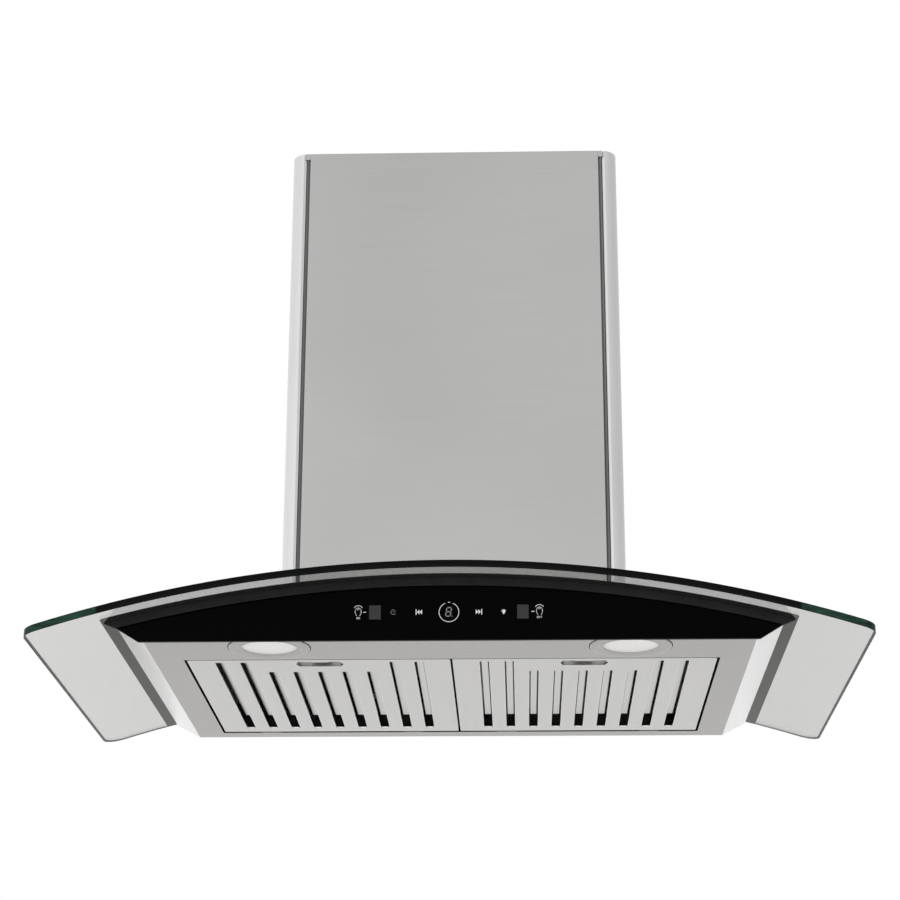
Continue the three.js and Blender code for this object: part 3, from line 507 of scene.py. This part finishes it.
canopy = {
    "half": 450, "front": -520, "back": -1, "thickness": 8,
    "frontCorner": 13, "backCorner": 24, "polish": 0.8,
    "airHalf": 154, "airFront": -246, "airBack": -16, "airCorner": 8,
    "boltX": 110, "boltFront": -254, "boltBack": -9, "boltHole": 3.3,
}
printBand = {
    "half": 372.6, "front": -498, "back": -1.5, "low": -0.16, "high": -0.04, "corner": 4,
    "airSides": 5, "airFront": 14, "airBack": 11,  # how far its opening is wider than the glass's
}


def archedSheet(outlines, low, high):
    # a flat region is cut into strips, laid on the arch and given its thickness
    bm = bmesh.new()
    fillFlat(bm, [[bm.verts.new((x, y, 0)) for x, y in outline] for outline in outlines])
    reach = int(max(x for x, _ in outlines[0]) / arch["step"])
    for i in range(-reach, reach + 1):
        geometry = bm.verts[:] + bm.edges[:] + bm.faces[:]
        bmesh.ops.bisect_plane(
            bm, geom=geometry, plane_co=(i * arch["step"], 0, 0), plane_no=(1, 0, 0), dist=1e-4,
        )
    slanted = [
        e for e in bm.edges if not e.is_boundary and abs(e.verts[0].co.x - e.verts[1].co.x) > 1e-3
    ]
    bmesh.ops.dissolve_edges(bm, edges=slanted, use_verts=False)
    loose = [
        v for v in bm.verts if len(v.link_edges) == 2 and not any(e.is_boundary for e in v.link_edges)
    ]
    bmesh.ops.dissolve_verts(bm, verts=loose)
    flat = list(bm.faces) + list(bm.edges)
    raised = bmesh.ops.extrude_face_region(bm, geom=flat, use_keep_orig=True)["geom"]
    upper = {part for part in raised if isinstance(part, bmesh.types.BMVert)}
    for vert in bm.verts:
        x, y = vert.co.x, vert.co.y
        lift = high if vert in upper else low
        vert.co = Vector((x * mm, y * mm, (archHeight(x, lift) - hangHeight) * mm))
    return bm


def shadeArch(thing):
    # the arched faces are shaded by the arch itself, so that what shows through them isn't bent
    thing.modifiers.clear()
    mesh = thing.data
    axis = Vector((0, 0, (arch["crown"] - arch["radius"] - hangHeight) * mm))
    mesh.update()
    normals = [(0, 0, 0)] * len(mesh.loops)
    for polygon in mesh.polygons:
        for loop, index in zip(polygon.loop_indices, polygon.vertices):
            out = mesh.vertices[index].co - axis
            out.y = 0
            out.normalize()
            facing = out.dot(polygon.normal)
            if abs(facing) > 0.98:
                normals[loop] = tuple(out if facing > 0 else -out)
    mesh.normals_split_custom_set(normals)


def makeCanopy():
    c, p = canopy, printBand
    plan = roundedRectangle(
        -c["half"], c["half"], c["front"], c["back"], c["frontCorner"], c["backCorner"], 10,
    )
    air = roundedRectangle(-c["airHalf"], c["airHalf"], c["airFront"], c["airBack"], c["airCorner"])
    bolts = [
        circlePoints((x, y), c["boltHole"], 16)
        for y in (c["boltFront"], c["boltBack"]) for x in (-c["boltX"], c["boltX"])
    ]
    glass = archedSheet([plan, air, *bolts], 0, c["thickness"])
    glass.normal_update()
    for face in glass.faces:
        face.material_index = 1 if abs(face.normal.z) < 0.5 else 0
    shadeArch(addPiece(
        "canopyGlass", glass, "hood", "clear_glass", [clearGlass, groundEdge], ["canopy_glass"],
        c["polish"],
    ))
    # the print leaves the bolt holes and the rim of the air opening free
    printPlan = roundedRectangle(-p["half"], p["half"], p["front"], p["back"], p["corner"])
    airHalf = c["airHalf"] + p["airSides"]
    printAir = roundedRectangle(
        -airHalf, airHalf, c["airFront"] - p["airFront"], c["airBack"] + p["airBack"], c["airCorner"],
    )
    addPiece(
        "canopyPrint", archedSheet([printPlan, printAir], p["low"], p["high"]), "hood", "black_glass",
        [canopyPrint],
    )


makeCanopy()

print("stage: control panel")

panel = {
    "bottom": 332, "top": 357, "drop": -7, "lift": -9.3, "front": -483.3, "back": -478.3, "chamfer": 0.7,
    "middle": 24, "ink": 0.06, "step": 6,
}
seal = {"half": 370.5, "lift": -0.25, "front": -482.3, "back": -478.3, "overlap": 0.1}


def alongPanel():  # places across the panel at which its top edge bends, from right to left
    reach = int(panel["top"] / panel["step"])
    return [panel["step"] * i for i in range(reach, -reach - 1, -1)]


def makePanel():
    bm = bmesh.new()
    outline = [(-panel["bottom"], panel["drop"]), (panel["bottom"], panel["drop"])]
    outline += [(x, archHeight(x, panel["lift"])) for x in [panel["top"], *alongPanel(), -panel["top"]]]
    front, back = (addLoop(bm, [(x, panel[face], z) for x, z in outline]) for face in ("front", "back"))
    closedPrism(bm, front, back)
    addPiece("controlPanel", bm, "hood", "black_glass", [panelGlass], ["front_panel"], panel["chamfer"])


def makeSeal():
    # strip between panel and print, whose ends carry on the slant of the panel's ends
    bm = bmesh.new()
    foot, places = panel["lift"] + seal["overlap"], alongPanel()
    upper = [(x, archHeight(x, seal["lift"])) for x in [seal["half"], *places, -seal["half"]]]
    lower = [(x, archHeight(x, foot)) for x in [-panel["top"], *places[::-1], panel["top"]]]
    back, front = (addLoop(bm, [(x, seal[y], z) for x, z in upper + lower]) for y in ("back", "front"))
    for ring in (back, front):
        for i in range(len(upper) - 1):
            bm.faces.new((ring[i], ring[i + 1], ring[-i - 2], ring[-i - 1]))
    bridge(bm, back, front)
    addPiece("panelSeal", bm, "hood", "black_rubber", [blackRubber], ["panel_seal"])


def film(bm, outline):  # a filled shape of ink, in mm from the middle of the keys
    faces = [
        addLoop(bm, [(x, panel["front"] + depth, panel["middle"] + z) for x, z in outline])
        for depth in (0.01, -panel["ink"])
    ]
    closedPrism(bm, *faces)


def stroke(bm, points, width, closed=False):
    vectors = [Vector(p) for p in points]
    count = len(vectors)
    edges = []
    for i, here in enumerate(vectors):
        before = vectors[i - 1] if closed or i else here
        after = vectors[(i + 1) % count] if closed or i < count - 1 else here
        along = (after - before).normalized()
        across = Vector((-along.y, along.x)) * width / 2
        edges.append((here + across, here - across))
    for i in range(count if closed else count - 1):
        j = (i + 1) % count
        film(bm, [edges[i][0], edges[j][0], edges[j][1], edges[i][1]])


def ringPoints(x, z, radius, fromDegrees, toDegrees, steps, tall=1.0):
    points = arcPoints((0, 0), radius, fromDegrees, toDegrees, steps)
    return [(x + a, z + b * tall) for a, b in points]


lettering = {
    "height": 2.2, "wide": 0.3, "line": 0.17, "apart": 2.05, "z": -6.4,  # wide and line are shares of height
    # from -1 to 1 across and up; an O is a ring
    "strokes": {
        "N": [[(-1, -1), (-1, 1)], [(-1, 1), (1, -1)], [(1, -1), (1, 1)]],
        "F": [[(-0.8, -1), (-0.8, 1)], [(-0.8, 0.8), (0.9, 0.8)], [(-0.8, 0), (0.6, 0)]],
    },
}


def inkWord(bm, word, middle):
    w = lettering
    half, wide, line = (w["height"] * share for share in (0.5, w["wide"], w["line"]))
    for i, letter in enumerate(word):
        x, z = middle + (i - (len(word) - 1) / 2) * w["apart"], w["z"]
        if letter == "O":
            stroke(bm, ringPoints(x, z, wide, 0, 360, 16, half / wide)[:-1], line, True)
        for ends in w["strokes"].get(letter, []):
            stroke(bm, [(x + a * wide, z + b * half) for a, b in ends], line)


hand = {
    # palm, from one side of the wrist round to the other, then the gaps between the fingers and the thumb
    "palm": [
        (-1.5, -4.0), (-2.5, -2.3), (-3.3, -0.3), (-3.3, 1.7), (-2.8, 3.3), (-1.8, 4.4), (-0.6, 4.9),
        (0.6, 4.9), (1.8, 4.4), (2.8, 3.3), (3.3, 1.6), (3.3, -0.3), (2.5, -2.3), (1.5, -4.0),
    ],
    "gaps": [[(-1.0, 4.6), (-1.1, 2.2)], [(0.1, 4.8), (0.1, 2.4)], [(1.2, 4.6), (1.1, 2.6)]],
    "thumb": [(3.2, 0.2), (2.1, 1.5)],
    "wave": {"z": 2.3, "radius": 5.2, "from": 32, "to": 148},  # arc over the hand
    "waveLine": 0.65, "palmLine": 0.45, "fingerLine": 0.3,
}


def inkHand(bm, x, word):
    wave = hand["wave"]
    stroke(bm, ringPoints(x, wave["z"], wave["radius"], wave["from"], wave["to"], 16), hand["waveLine"])
    stroke(bm, [(x + a, b) for a, b in hand["palm"]], hand["palmLine"])
    for line in hand["gaps"] + [hand["thumb"]]:
        stroke(bm, [(x + a, b) for a, b in line], hand["fingerLine"])
    inkWord(bm, word, x)


icons = {
    # places across the panel, or (across, up), in mm from the middle of the keys
    "hands": [(-96.4, "ON"), (97.8, "OFF")],
    "dashes": [-89.5, 90.7], "dashHalf": 1.5, "dashLine": 0.9,
    "ring": (0.9, -0.3), "ringRadius": 10.6, "ringLine": 0.7,
    "mark": [(-0.5, 10.3), (0.1, 11.0), (1.7, 11.0), (2.3, 10.3)],  # in the gap at the top of the ring
    "skips": [(-1, -31.3), (1, 33.0)], "skipTall": 2.7, "skipStarts": [-3.4, -0.6],  # way and place
    "skipBar": 2.95, "skipBarHalf": 3.1, "skipBarLine": 1.0,
    "bulb": (59.5, 0.4), "bulbRadius": 1.9, "capHalf": 0.6, "capLow": -2.7,
    "rays": [10, 50, 130, 170], "rayReach": [2.3, 2.8], "rayLine": 0.35,
    "clock": (-58.8, 0), "clockRadius": 2.6, "clockLine": 0.5,
    "clockHands": [(0, 1.3), (0, 0), (1.2, -0.3)], "clockHandLine": 0.45,
    "windows": [(-84.7, -72.1, -7.8, 7.7), (74.0, 86.1, -7.8, 7.7)], "windowCorner": 0.4,
}
digit = {
    "x": 0.5, "lean": 0.16, "levels": [4.8, 0, -4.8], "uprights": [-2.5, 2.5], "uprightLevels": [2.4, -2.4],
    "long": 2.1, "thin": 0.66, "point": 0.4,  # half length and half width of a bar, and its slanted end
    "dot": (4.3, -4.9), "dotRadius": 0.6,
}


def makeWhiteIcons():
    bm = bmesh.new()
    n = icons
    for x, word in n["hands"]:
        inkHand(bm, x, word)
    for x in n["dashes"]:
        stroke(bm, [(x - n["dashHalf"], 0), (x + n["dashHalf"], 0)], n["dashLine"])
    # ring round the digit, open at the top with a short mark in the gap
    stroke(bm, ringPoints(*n["ring"], n["ringRadius"], 112, 428, 60), n["ringLine"])
    film(bm, n["mark"])
    for way, x in n["skips"]:
        bar, tall = x + way * n["skipBar"], n["skipTall"]
        stroke(bm, [(bar, -n["skipBarHalf"]), (bar, n["skipBarHalf"])], n["skipBarLine"])
        for start in n["skipStarts"]:
            film(bm, [(x + way * start, -tall), (x + way * (start + tall), 0), (x + way * start, tall)])
    # bulb with its cap and short rays
    cap = [(n["bulb"][0] + way * n["capHalf"], n["capLow"]) for way in (-1, 1)]
    film(bm, ringPoints(*n["bulb"], n["bulbRadius"], -50, 230, 20) + cap)
    for degrees in n["rays"]:
        ends = [ringPoints(*n["bulb"], reach, degrees, degrees, 1)[0] for reach in n["rayReach"]]
        stroke(bm, ends, n["rayLine"])
    addPiece("panelIcons", bm, "hood", "black_glass", [whiteInk])


def makeGreyIcons():
    bm = bmesh.new()
    n, d = icons, digit
    stroke(bm, ringPoints(*n["clock"], n["clockRadius"], 20, 330, 24), n["clockLine"])
    stroke(bm, [(n["clock"][0] + x, z) for x, z in n["clockHands"]], n["clockHandLine"])
    # slanted seven-bar digit, with its point
    long, thin, neck = d["long"], d["thin"], d["long"] - d["point"]
    bar = [(-long, 0), (-neck, thin), (neck, thin), (long, 0), (neck, -thin), (-neck, -thin)]
    level = [(0, z) for z in d["levels"]]
    upright = [(x, z) for x in d["uprights"] for z in d["uprightLevels"]]
    for x, z in level + upright:
        points = bar if (x, z) in level else [(b, a) for a, b in bar]
        film(bm, [(d["x"] + x + a + d["lean"] * (z + b), z + b) for a, b in points])
    film(bm, ringPoints(*d["dot"], d["dotRadius"], 0, 360, 12)[:-1])
    addPiece("panelDimIcons", bm, "hood", "black_glass", [greyInk])


def makeSensorWindows():
    bm = bmesh.new()
    for x0, x1, z0, z1 in icons["windows"]:
        film(bm, roundedRectangle(x0, x1, z0, z1, icons["windowCorner"], steps=3))
    addPiece("panelSensorWindows", bm, "hood", "black_glass", [sensorInk])


makePanel()
makeSeal()
makeWhiteIcons()
makeGreyIcons()
makeSensorWindows()

print("stage: lamps")

lamp = {
    "x": 197, "y": -430, "steps": 96,
    # (radius, height) from the inner lip, across the face and over the edge, up the neck
    "profile": [(30.2, 0.9), (30.2, -1.1), (30.35, -1.4), (30.8, -1.5), (34.0, -1.5), (34.4, -1.42),
                (34.7, -1.15), (35.1, -1.15), (35.4, -1.42), (35.8, -1.5), (42.6, -1.5), (43.5, -1.38),
                (44.2, -1.05), (44.5, -0.6), (44.5, -0.3), (34, -0.3), (34, 8), (31, 8), (31, 0.9)],
    "lens": [(0.0, 0.45), (12, 0.5), (22, 0.68), (27, 0.85), (30, 0.95), (30.6, 1.0), (30.6, 3.0),
             (0.0, 3.0)],
    # black gasket, wider than the ring so that it shows as a fine dark line round it: painted shade for the
    # gap at the ring's edge
    "gasketShadeLine": [(44.0, -0.28), (45.5, -0.28), (45.5, 0), (44.0, 0)],
}


def turned(bm, profile, x, y, steps):
    rings = []
    for radius, z in profile:
        around = circlePoints((x, y), radius, steps) if radius > 0 else [(x, y)]
        rings.append(addLoop(bm, [(a, b, z) for a, b in around]))
    pairs = list(zip(rings, rings[1:])) + ([(rings[-1], rings[0])] if len(rings[0]) > 1 else [])
    for first, second in pairs:
        if len(first) == len(second):
            bridge(bm, first, second)
            continue
        tip, ring = (first[0], second) if len(first) == 1 else (second[0], first)
        for a, b in zip(ring, ring[1:] + ring[:1]):
            bm.faces.new((a, b, tip))


def makeLamp(sideName, side):
    parts = [
        ("lampRing", "profile", "bright_steel", steelBody, ["lamp_trim_" + sideName]),
        ("lampLens", "lens", "frosted_plastic", opalAcrylicPaintedGlow, ["lamp_lens_" + sideName]),
        ("lampGasketShadeLine", "gasketShadeLine", "black_rubber", blackRubber, []),
    ]
    for name, profile, slotName, material, replaced in parts:
        bm = bmesh.new()
        turned(bm, lamp[profile], side * lamp["x"], lamp["y"], lamp["steps"])
        addPiece(name + "." + sideName, bm, "hood", slotName, [material], replaced)


for sideName, side in sides:
    makeLamp(sideName, side)

print("stage: baffle filters")

baffle = {
    "centre": 148.1, "half": 146.9, "front": -376.0, "back": -30, "height": 16, "sheet": 0.9, "corner": 2.5,
    "pitch": 27.9, "count": 9, "slotHalf": 5.0, "longFront": -366, "shortFront": -324, "slotBack": -46.5,
    "longEnds": 2,  # this many slots at each end are long
    "slotFrontCorner": 1, "slotBackCorner": 3.2, "troughStart": 1, "troughCorner": 1.6,
    # (outward from the hole's or sheet's edge, up), from the flat of the sheet over its rounded edge
    "rim": [(-0.5, 0), (-0.25, 0.05), (-0.08, 0.18), (0, 0.4)],
    "slotRim": [(1.1, 0), (0.72, 0.08), (0.46, 0.3), (0.34, 0.6), (0.26, 1.1), (0.1, 2.0)],
    "cupRim": [(1.4, 0), (0.7, 0.14), (0.25, 0.45), (0.05, 0.9)],
    "cupTip": 27, "cupFlat": 23, "cupMiddle": -356.5, "cupHalf": 11.5, "cupDepth": 9,
    "latchHalf": 11.5, "latchLow": 1.3, "latchHigh": 3.3,
    "troughHalf": 4.3, "troughTop": 15.2, "troughDepth": 7.0, "troughBack": -84, "troughSheet": 0.5,
    "ridge": 11, "inset": 1.4, "windowInset": 4,
    "tabSpread": 90, "tabHalf": 12, "tabTo": -15, "tabLow": 1.5, "tabHigh": 2.7, "tabCorner": 3,
}


def slotPlaces():
    places = []
    for i in range(baffle["count"]):
        fromEnd = min(i, baffle["count"] - 1 - i)
        front = baffle["longFront"] if fromEnd < baffle["longEnds"] else baffle["shortFront"]
        places.append((baffle["centre"] + (i - (baffle["count"] - 1) / 2) * baffle["pitch"], front))
    return places


def slotLoop(x, front, grow):
    b = baffle
    half = b["slotHalf"] + grow
    return roundedRectangle(
        x - half, x + half, front - grow, b["slotBack"] + grow,
        b["slotFrontCorner"] + grow, b["slotBackCorner"] + grow, 5,
    )


def troughLoop(x, front, grow):
    b = baffle
    half = b["troughHalf"] + grow
    return roundedRectangle(
        x - half, x + half, front + b["troughStart"] - grow, b["troughBack"] + grow,
        b["troughCorner"] + 0.9 * grow,
    )


def cupLoop(grow):
    b = baffle
    tip, flat, deep = b["cupTip"] + grow, b["cupFlat"] + grow / 2, b["cupHalf"] + grow
    points = [(-tip, 0), (-flat, -deep), (-b["latchHalf"], -deep), (b["latchHalf"], -deep), (flat, -deep),
              (tip, 0), (flat, deep), (-flat, deep)]
    return [(b["centre"] + x, b["cupMiddle"] + y) for x, y in points]


def rimLoop(grow):
    b = baffle
    x0, x1 = b["centre"] - b["half"] - grow, b["centre"] + b["half"] + grow
    points = roundedRectangle(x0, x1, b["front"] - grow, b["back"] + grow, b["corner"] + grow, steps=5)
    # two more points in the front edge, either side of the latch
    latchEdge = [(b["centre"] + way * b["latchHalf"], b["front"] - grow) for way in (-1, 1)]
    return points + latchEdge


def pressedEdge(bm, loopAt, profile, side, slit=None):
    # rings of (grow, height) from the flat of the sheet onwards; a slit is (ring, segment) left open
    rings = [levelLoop(bm, loopAt(grow), z, side) for grow, z in profile]
    count = len(rings[0])
    for r, (first, second) in enumerate(zip(rings, rings[1:])):
        skip = ()
        if slit and slit[0] == r:
            skip = (slit[1] if side > 0 else (count - 2 - slit[1]) % count,)
        bridge(bm, first, second, skip)
    return rings


def makeFilterFace(sideName, side):
    bm = bmesh.new()
    b = baffle
    slit = [(0, b["latchLow"]), (0, b["latchHigh"])]
    rim = b["rim"] + slit + [(0, b["height"])]
    cup = b["cupRim"] + slit + [(0, b["cupDepth"])]
    rimRings = pressedEdge(bm, rimLoop, rim, side, (len(b["rim"]), len(rimLoop(0)) - 2))
    cupRings = pressedEdge(bm, cupLoop, cup, side, (len(b["cupRim"]), 2))
    slots = [
        pressedEdge(bm, lambda grow: slotLoop(*place, grow), b["slotRim"], side) for place in slotPlaces()
    ]
    fillFlat(bm, [rimRings[0], cupRings[0], *[rings[0] for rings in slots]])
    bm.faces.new(cupRings[-1])
    sheetMetal(bm, b["sheet"])
    for way in (-1, 1):
        x, y0, y1 = b["centre"] + way * b["tabSpread"], b["back"] - 1, b["tabTo"] - b["tabCorner"]
        half, corner = b["tabHalf"], b["tabCorner"]
        plan = [(x - half, y0), (x + half, y0), *arcPoints((x + half - corner, y1), corner, 0, 90, 5),
                *arcPoints((x - half + corner, y1), corner, 90, 180, 5)]
        uprightBar(bm, plan, b["tabLow"], b["tabHigh"], side)
    # the backs of its edges wear painted shade
    addPiece(
        "filterFace." + sideName, bm, sideName + "_filter", "bright_steel",
        [steelFilter, steelInside, paintedShadeSheet], ["filter_face_" + sideName],
    )


def makeFilterTroughs(sideName, side):
    bm = bmesh.new()
    b = baffle
    top, low, places = b["troughTop"], b["troughTop"] - b["troughDepth"], slotPlaces()
    # (grow, height) down the wall of a trough and round its bottom edge
    profile = [(0.5, top), (0.15, top - 0.15), (0, top - 0.5), (0, low + 0.8), (-0.12, low + 0.38),
               (-0.38, low + 0.12), (-0.8, low)]
    outer = roundedRectangle(
        b["centre"] - b["half"] + b["inset"], b["centre"] + b["half"] - b["inset"],
        b["front"] + b["inset"], b["back"] - b["inset"], 2,
    )
    loops = [levelLoop(bm, outer, top, side)]
    for place in places:
        rings = pressedEdge(bm, lambda grow: troughLoop(*place, grow), profile, side)
        bm.faces.new(rings[-1])
        loops.append(rings[0])
    half, inset = (b["pitch"] - b["ridge"]) / 2, b["windowInset"]
    for (x0, front0), (x1, front1) in zip(places, places[1:]):
        middle, front = (x0 + x1) / 2, max(front0, front1) + inset
        window = roundedRectangle(middle - half, middle + half, front, b["slotBack"] - inset, 2, steps=4)
        loops.append(levelLoop(bm, window, top, side))
    fillFlat(bm, loops)
    sheetMetal(bm, b["troughSheet"])
    # the backs of the troughs wear painted shade
    addPiece(
        "filterTroughs." + sideName, bm, sideName + "_filter", "bright_steel",
        [steelFilter, paintedShadeSheet, paintedShadeSheet], ["filter_baffles_" + sideName],
    )


for sideName, side in sides:
    makeFilterFace(sideName, side)
    makeFilterTroughs(sideName, side)

print("stage: latch springs")

leafSpring = {
    "centre": 148.1, "reach": 14, "front": -374.2, "back": -367.2, "low": 3.0, "high": 6.5,
    "sheet": 0.4, "bend": 0.9,
}


def softened(path, radius, steps=5):  # rounds the bends of an open path
    points = [tuple(path[0])]
    for before, here, after in zip(path, path[1:], path[2:]):
        a, b, c = Vector(before), Vector(here), Vector(after)
        back, on = (a - b).normalized(), (c - b).normalized()
        angle = back.angle(on)
        reach = radius / math.tan(angle / 2)
        centre = b + (back + on).normalized() * (radius / math.sin(angle / 2))
        start, end = b + back * reach - centre, b + on * reach - centre
        points += [tuple(centre + start.slerp(end, i / steps)) for i in range(steps + 1)]
    return points + [tuple(path[-1])]


def standingSheet(bm, path, footAt, top, thickness, side):
    # the path is the outer face seen from above, and the sheet lies on its left
    points = [Vector(p) for p in path]
    inner = []
    for i, here in enumerate(points):
        ways = [b - a for a, b in zip(points[max(i - 1, 0) : i + 1], points[max(i, 1) : i + 2])]
        ways = [way.normalized() for way in ways if way.length > 1e-6]
        along = sum(ways, Vector((0, 0))).normalized()
        left = Vector((-along.y, along.x))
        across = Vector((-ways[0].y, ways[0].x))
        inner.append(here + left * thickness / max(0.5, left.dot(across)))
    outline = [tuple(p) for p in points + inner[::-1]]
    low = addLoop(bm, mirrored([(x, y, footAt(x)) for x, y in outline], side))
    high = levelLoop(bm, outline, top, side)
    last = len(outline) - 1
    for ring in (low, high):
        for i in range(len(points) - 1):
            bm.faces.new((ring[i], ring[i + 1], ring[last - i - 1], ring[last - i]))
    bridge(bm, low, high)


def makeLatchSpring(sideName, side):
    # a zigzag leaf from the wall of the finger recess to the latch, which closes it up when it slides
    s = leafSpring
    path = [
        (s["centre"] + s["reach"] * (i / 2 - 1), s["front"] if i % 2 else s["back"]) for i in range(5)
    ]
    bm = bmesh.new()
    standingSheet(bm, softened(path, s["bend"]), lambda x: s["low"], s["high"], s["sheet"], side)
    ends = [Vector((0, s[end] * mm, 0)) for end in ("back", "front")]
    addPiece(
        "latchSpring." + sideName, bm, (sideName + "_filter", sideName + "_latch", *ends), "brushed_steel",
        [steelSmall], ["latch_spring_" + sideName],
    )


for sideName, side in sides:
    makeLatchSpring(sideName, side)

print("stage: chimney cover")

chimney = {
    "top": 662, "standsAt": 8.5, "sheet": 1.0, "plateHalf": 178, "front": -318, "fold": 13.7,
    "groove": 2.5, "grooveBend": 2.6, "grooveDepth": 3.2, "grooveShallow": 0.9, "floorSheet": 0.8,
    "floorIn": 0.5, "floorOut": 1.1, "lip": 8, "lipIn": 0.02, "lipOver": 2.6, "lipFront": 0.3, "lipBack": 1.4,
    "half": 200, "corner": 20, "wall": -1, "wallFold": 14, "bend": 1.2, "edge": 0.3,
    "behindPlate": 12, "plateGap": 0.3,
}


def footAt(x):  # the cover stands on the glass
    return archHeight(x, chimney["standsAt"])


def makeChimney():
    c = chimney
    rear = c["front"] + c["fold"]
    half = c["plateHalf"]
    ends = softened([(-half, rear), (-half, c["front"]), (half, c["front"]), (half, rear)], c["bend"])
    # more points across the plate so that its foot follows the glass
    middle, inside, steps = len(ends) // 2, half - c["bend"], 24
    across = [(-inside + 2 * inside * i / steps, c["front"]) for i in range(1, steps)]
    bm = bmesh.new()
    standingSheet(bm, ends[:middle] + across + ends[middle:], footAt, c["top"], c["sheet"], 1)
    for _, side in sides:  # lips that close the grooves at the top
        x0, x1 = half - c["lipIn"], half + c["groove"] + c["lipOver"]
        y0, y1 = c["front"] + c["lipFront"], c["front"] + c["lipBack"]
        uprightBar(bm, [(x0, y1), (x0, y0), (x1, y0), (x1, y1)], c["top"] - c["lip"], c["top"], side)
    addPiece("chimneyPlate", bm, "hood", "brushed_steel", [steelPlate], ["chimney_front"], c["edge"])
    for sideName, side in sides:  # floors of the grooves, shallower towards the columns: dark sheets put in as the grooves' painted shade
        bm = bmesh.new()
        x0, x1 = half - c["floorIn"], half + c["groove"] + c["floorOut"]
        deep = c["front"] + c["grooveDepth"]
        back = deep + c["floorSheet"]
        plan = [(x0, back), (x0, deep), (x1, c["front"] + c["grooveShallow"]), (x1, back)]
        uprightBar(bm, plan, footAt(half) + 1, c["top"] - c["lip"] + 1, side)
        addPiece("grooveShadeFloor." + sideName, bm, "hood", "brushed_steel", [steelGroovePaintedShade], bevel=0.2)

    start = half + c["groove"]
    centre = (c["half"] - c["corner"], c["front"] + c["corner"])
    startAngle = math.degrees(math.asin((start - centre[0]) / c["corner"])) - 90
    quarter = arcPoints(centre, c["corner"], startAngle, 0, 24)
    back = rear + c["plateGap"]
    head = [(half - c["behindPlate"], back), (start, back), quarter[0], quarter[4]]
    head = softened(head, c["grooveBend"])
    tail = softened([quarter[-2], (c["half"], c["wall"]), (c["half"] - c["wallFold"], c["wall"])], c["bend"])
    column = head[:-1] + quarter[4:] + tail[1:]
    for sideName, side in sides:
        bm = bmesh.new()
        standingSheet(bm, column, footAt, c["top"], c["sheet"], side)
        addPiece(
            "chimneyColumn." + sideName, bm, "hood", "bright_steel", [steelColumnPaintedBright],
            ["chimney_side_" + sideName], c["edge"],
        )


makeChimney()

print("stage: finishes on the packed pieces")

finish = {
    "weld": 0.002, "rounding": 0.25, "sharpFrom": 32,  # mm, mm and degrees
    "ownRounding": {"body_shell": 0.5}, "ownSharpFrom": {"body_shell": 25},
    # the top plate wears the painted shade of the inside in place of its zinc coat
    "ownMaterials": {"body_shell": shellSteelWithShade, "top_plate": paintedShadeSheet, "chimney_upper": steelPlate},
}


def finishNode(name, slotName):
    # welded and lightly rounded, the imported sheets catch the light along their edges
    thing = nodes[name]
    for place in thing.material_slots:
        place.material = finish["ownMaterials"].get(name, slotMaterials[slotName])
    if thing.data.attributes.get("custom_normal"):
        thing.data.attributes.remove(thing.data.attributes["custom_normal"])
    for polygon in thing.data.polygons:
        polygon.use_smooth = True
    weld = thing.modifiers.new("weld", "WELD")
    weld.merge_threshold = finish["weld"] * mm
    edges = thing.modifiers.new("edges", "BEVEL")
    edges.width = finish["ownRounding"].get(name, finish["rounding"]) * mm
    edges.segments = 2
    edges.limit_method = "ANGLE"
    edges.angle_limit = math.radians(finish["ownSharpFrom"].get(name, finish["sharpFrom"]))
    edges.harden_normals = True


for row in frame["record"]["subparts"]:
    finishNode(row["node"], row["material_slot"])

print("stage: floor")


def makeFloor():
    # matt seamless paper: pale, with hardly any tone in it
    material, tree, shader = newMaterial("pale seamless paper")
    tone = grain(tree, 700, 700, "x", 2.0)
    colour = between(tree, tone, floorSheet["dark"], floorSheet["light"])
    joinUp(tree, shader, colour, spread(tree, tone, 0.85, 0.95))
    half = floorSheet["half"]
    corners = [(-half, -half, 0), (half, -half, 0), (half, half, 0), (-half, half, 0)]
    mesh = bpy.data.meshes.new("floor")
    mesh.from_pydata(corners, [], [(0, 1, 2, 3)])
    mesh.materials.append(material)
    floor = link(bpy.data.objects.new("floor", mesh))
    floor.location.z = floorSheet["height"]


makeFloor()
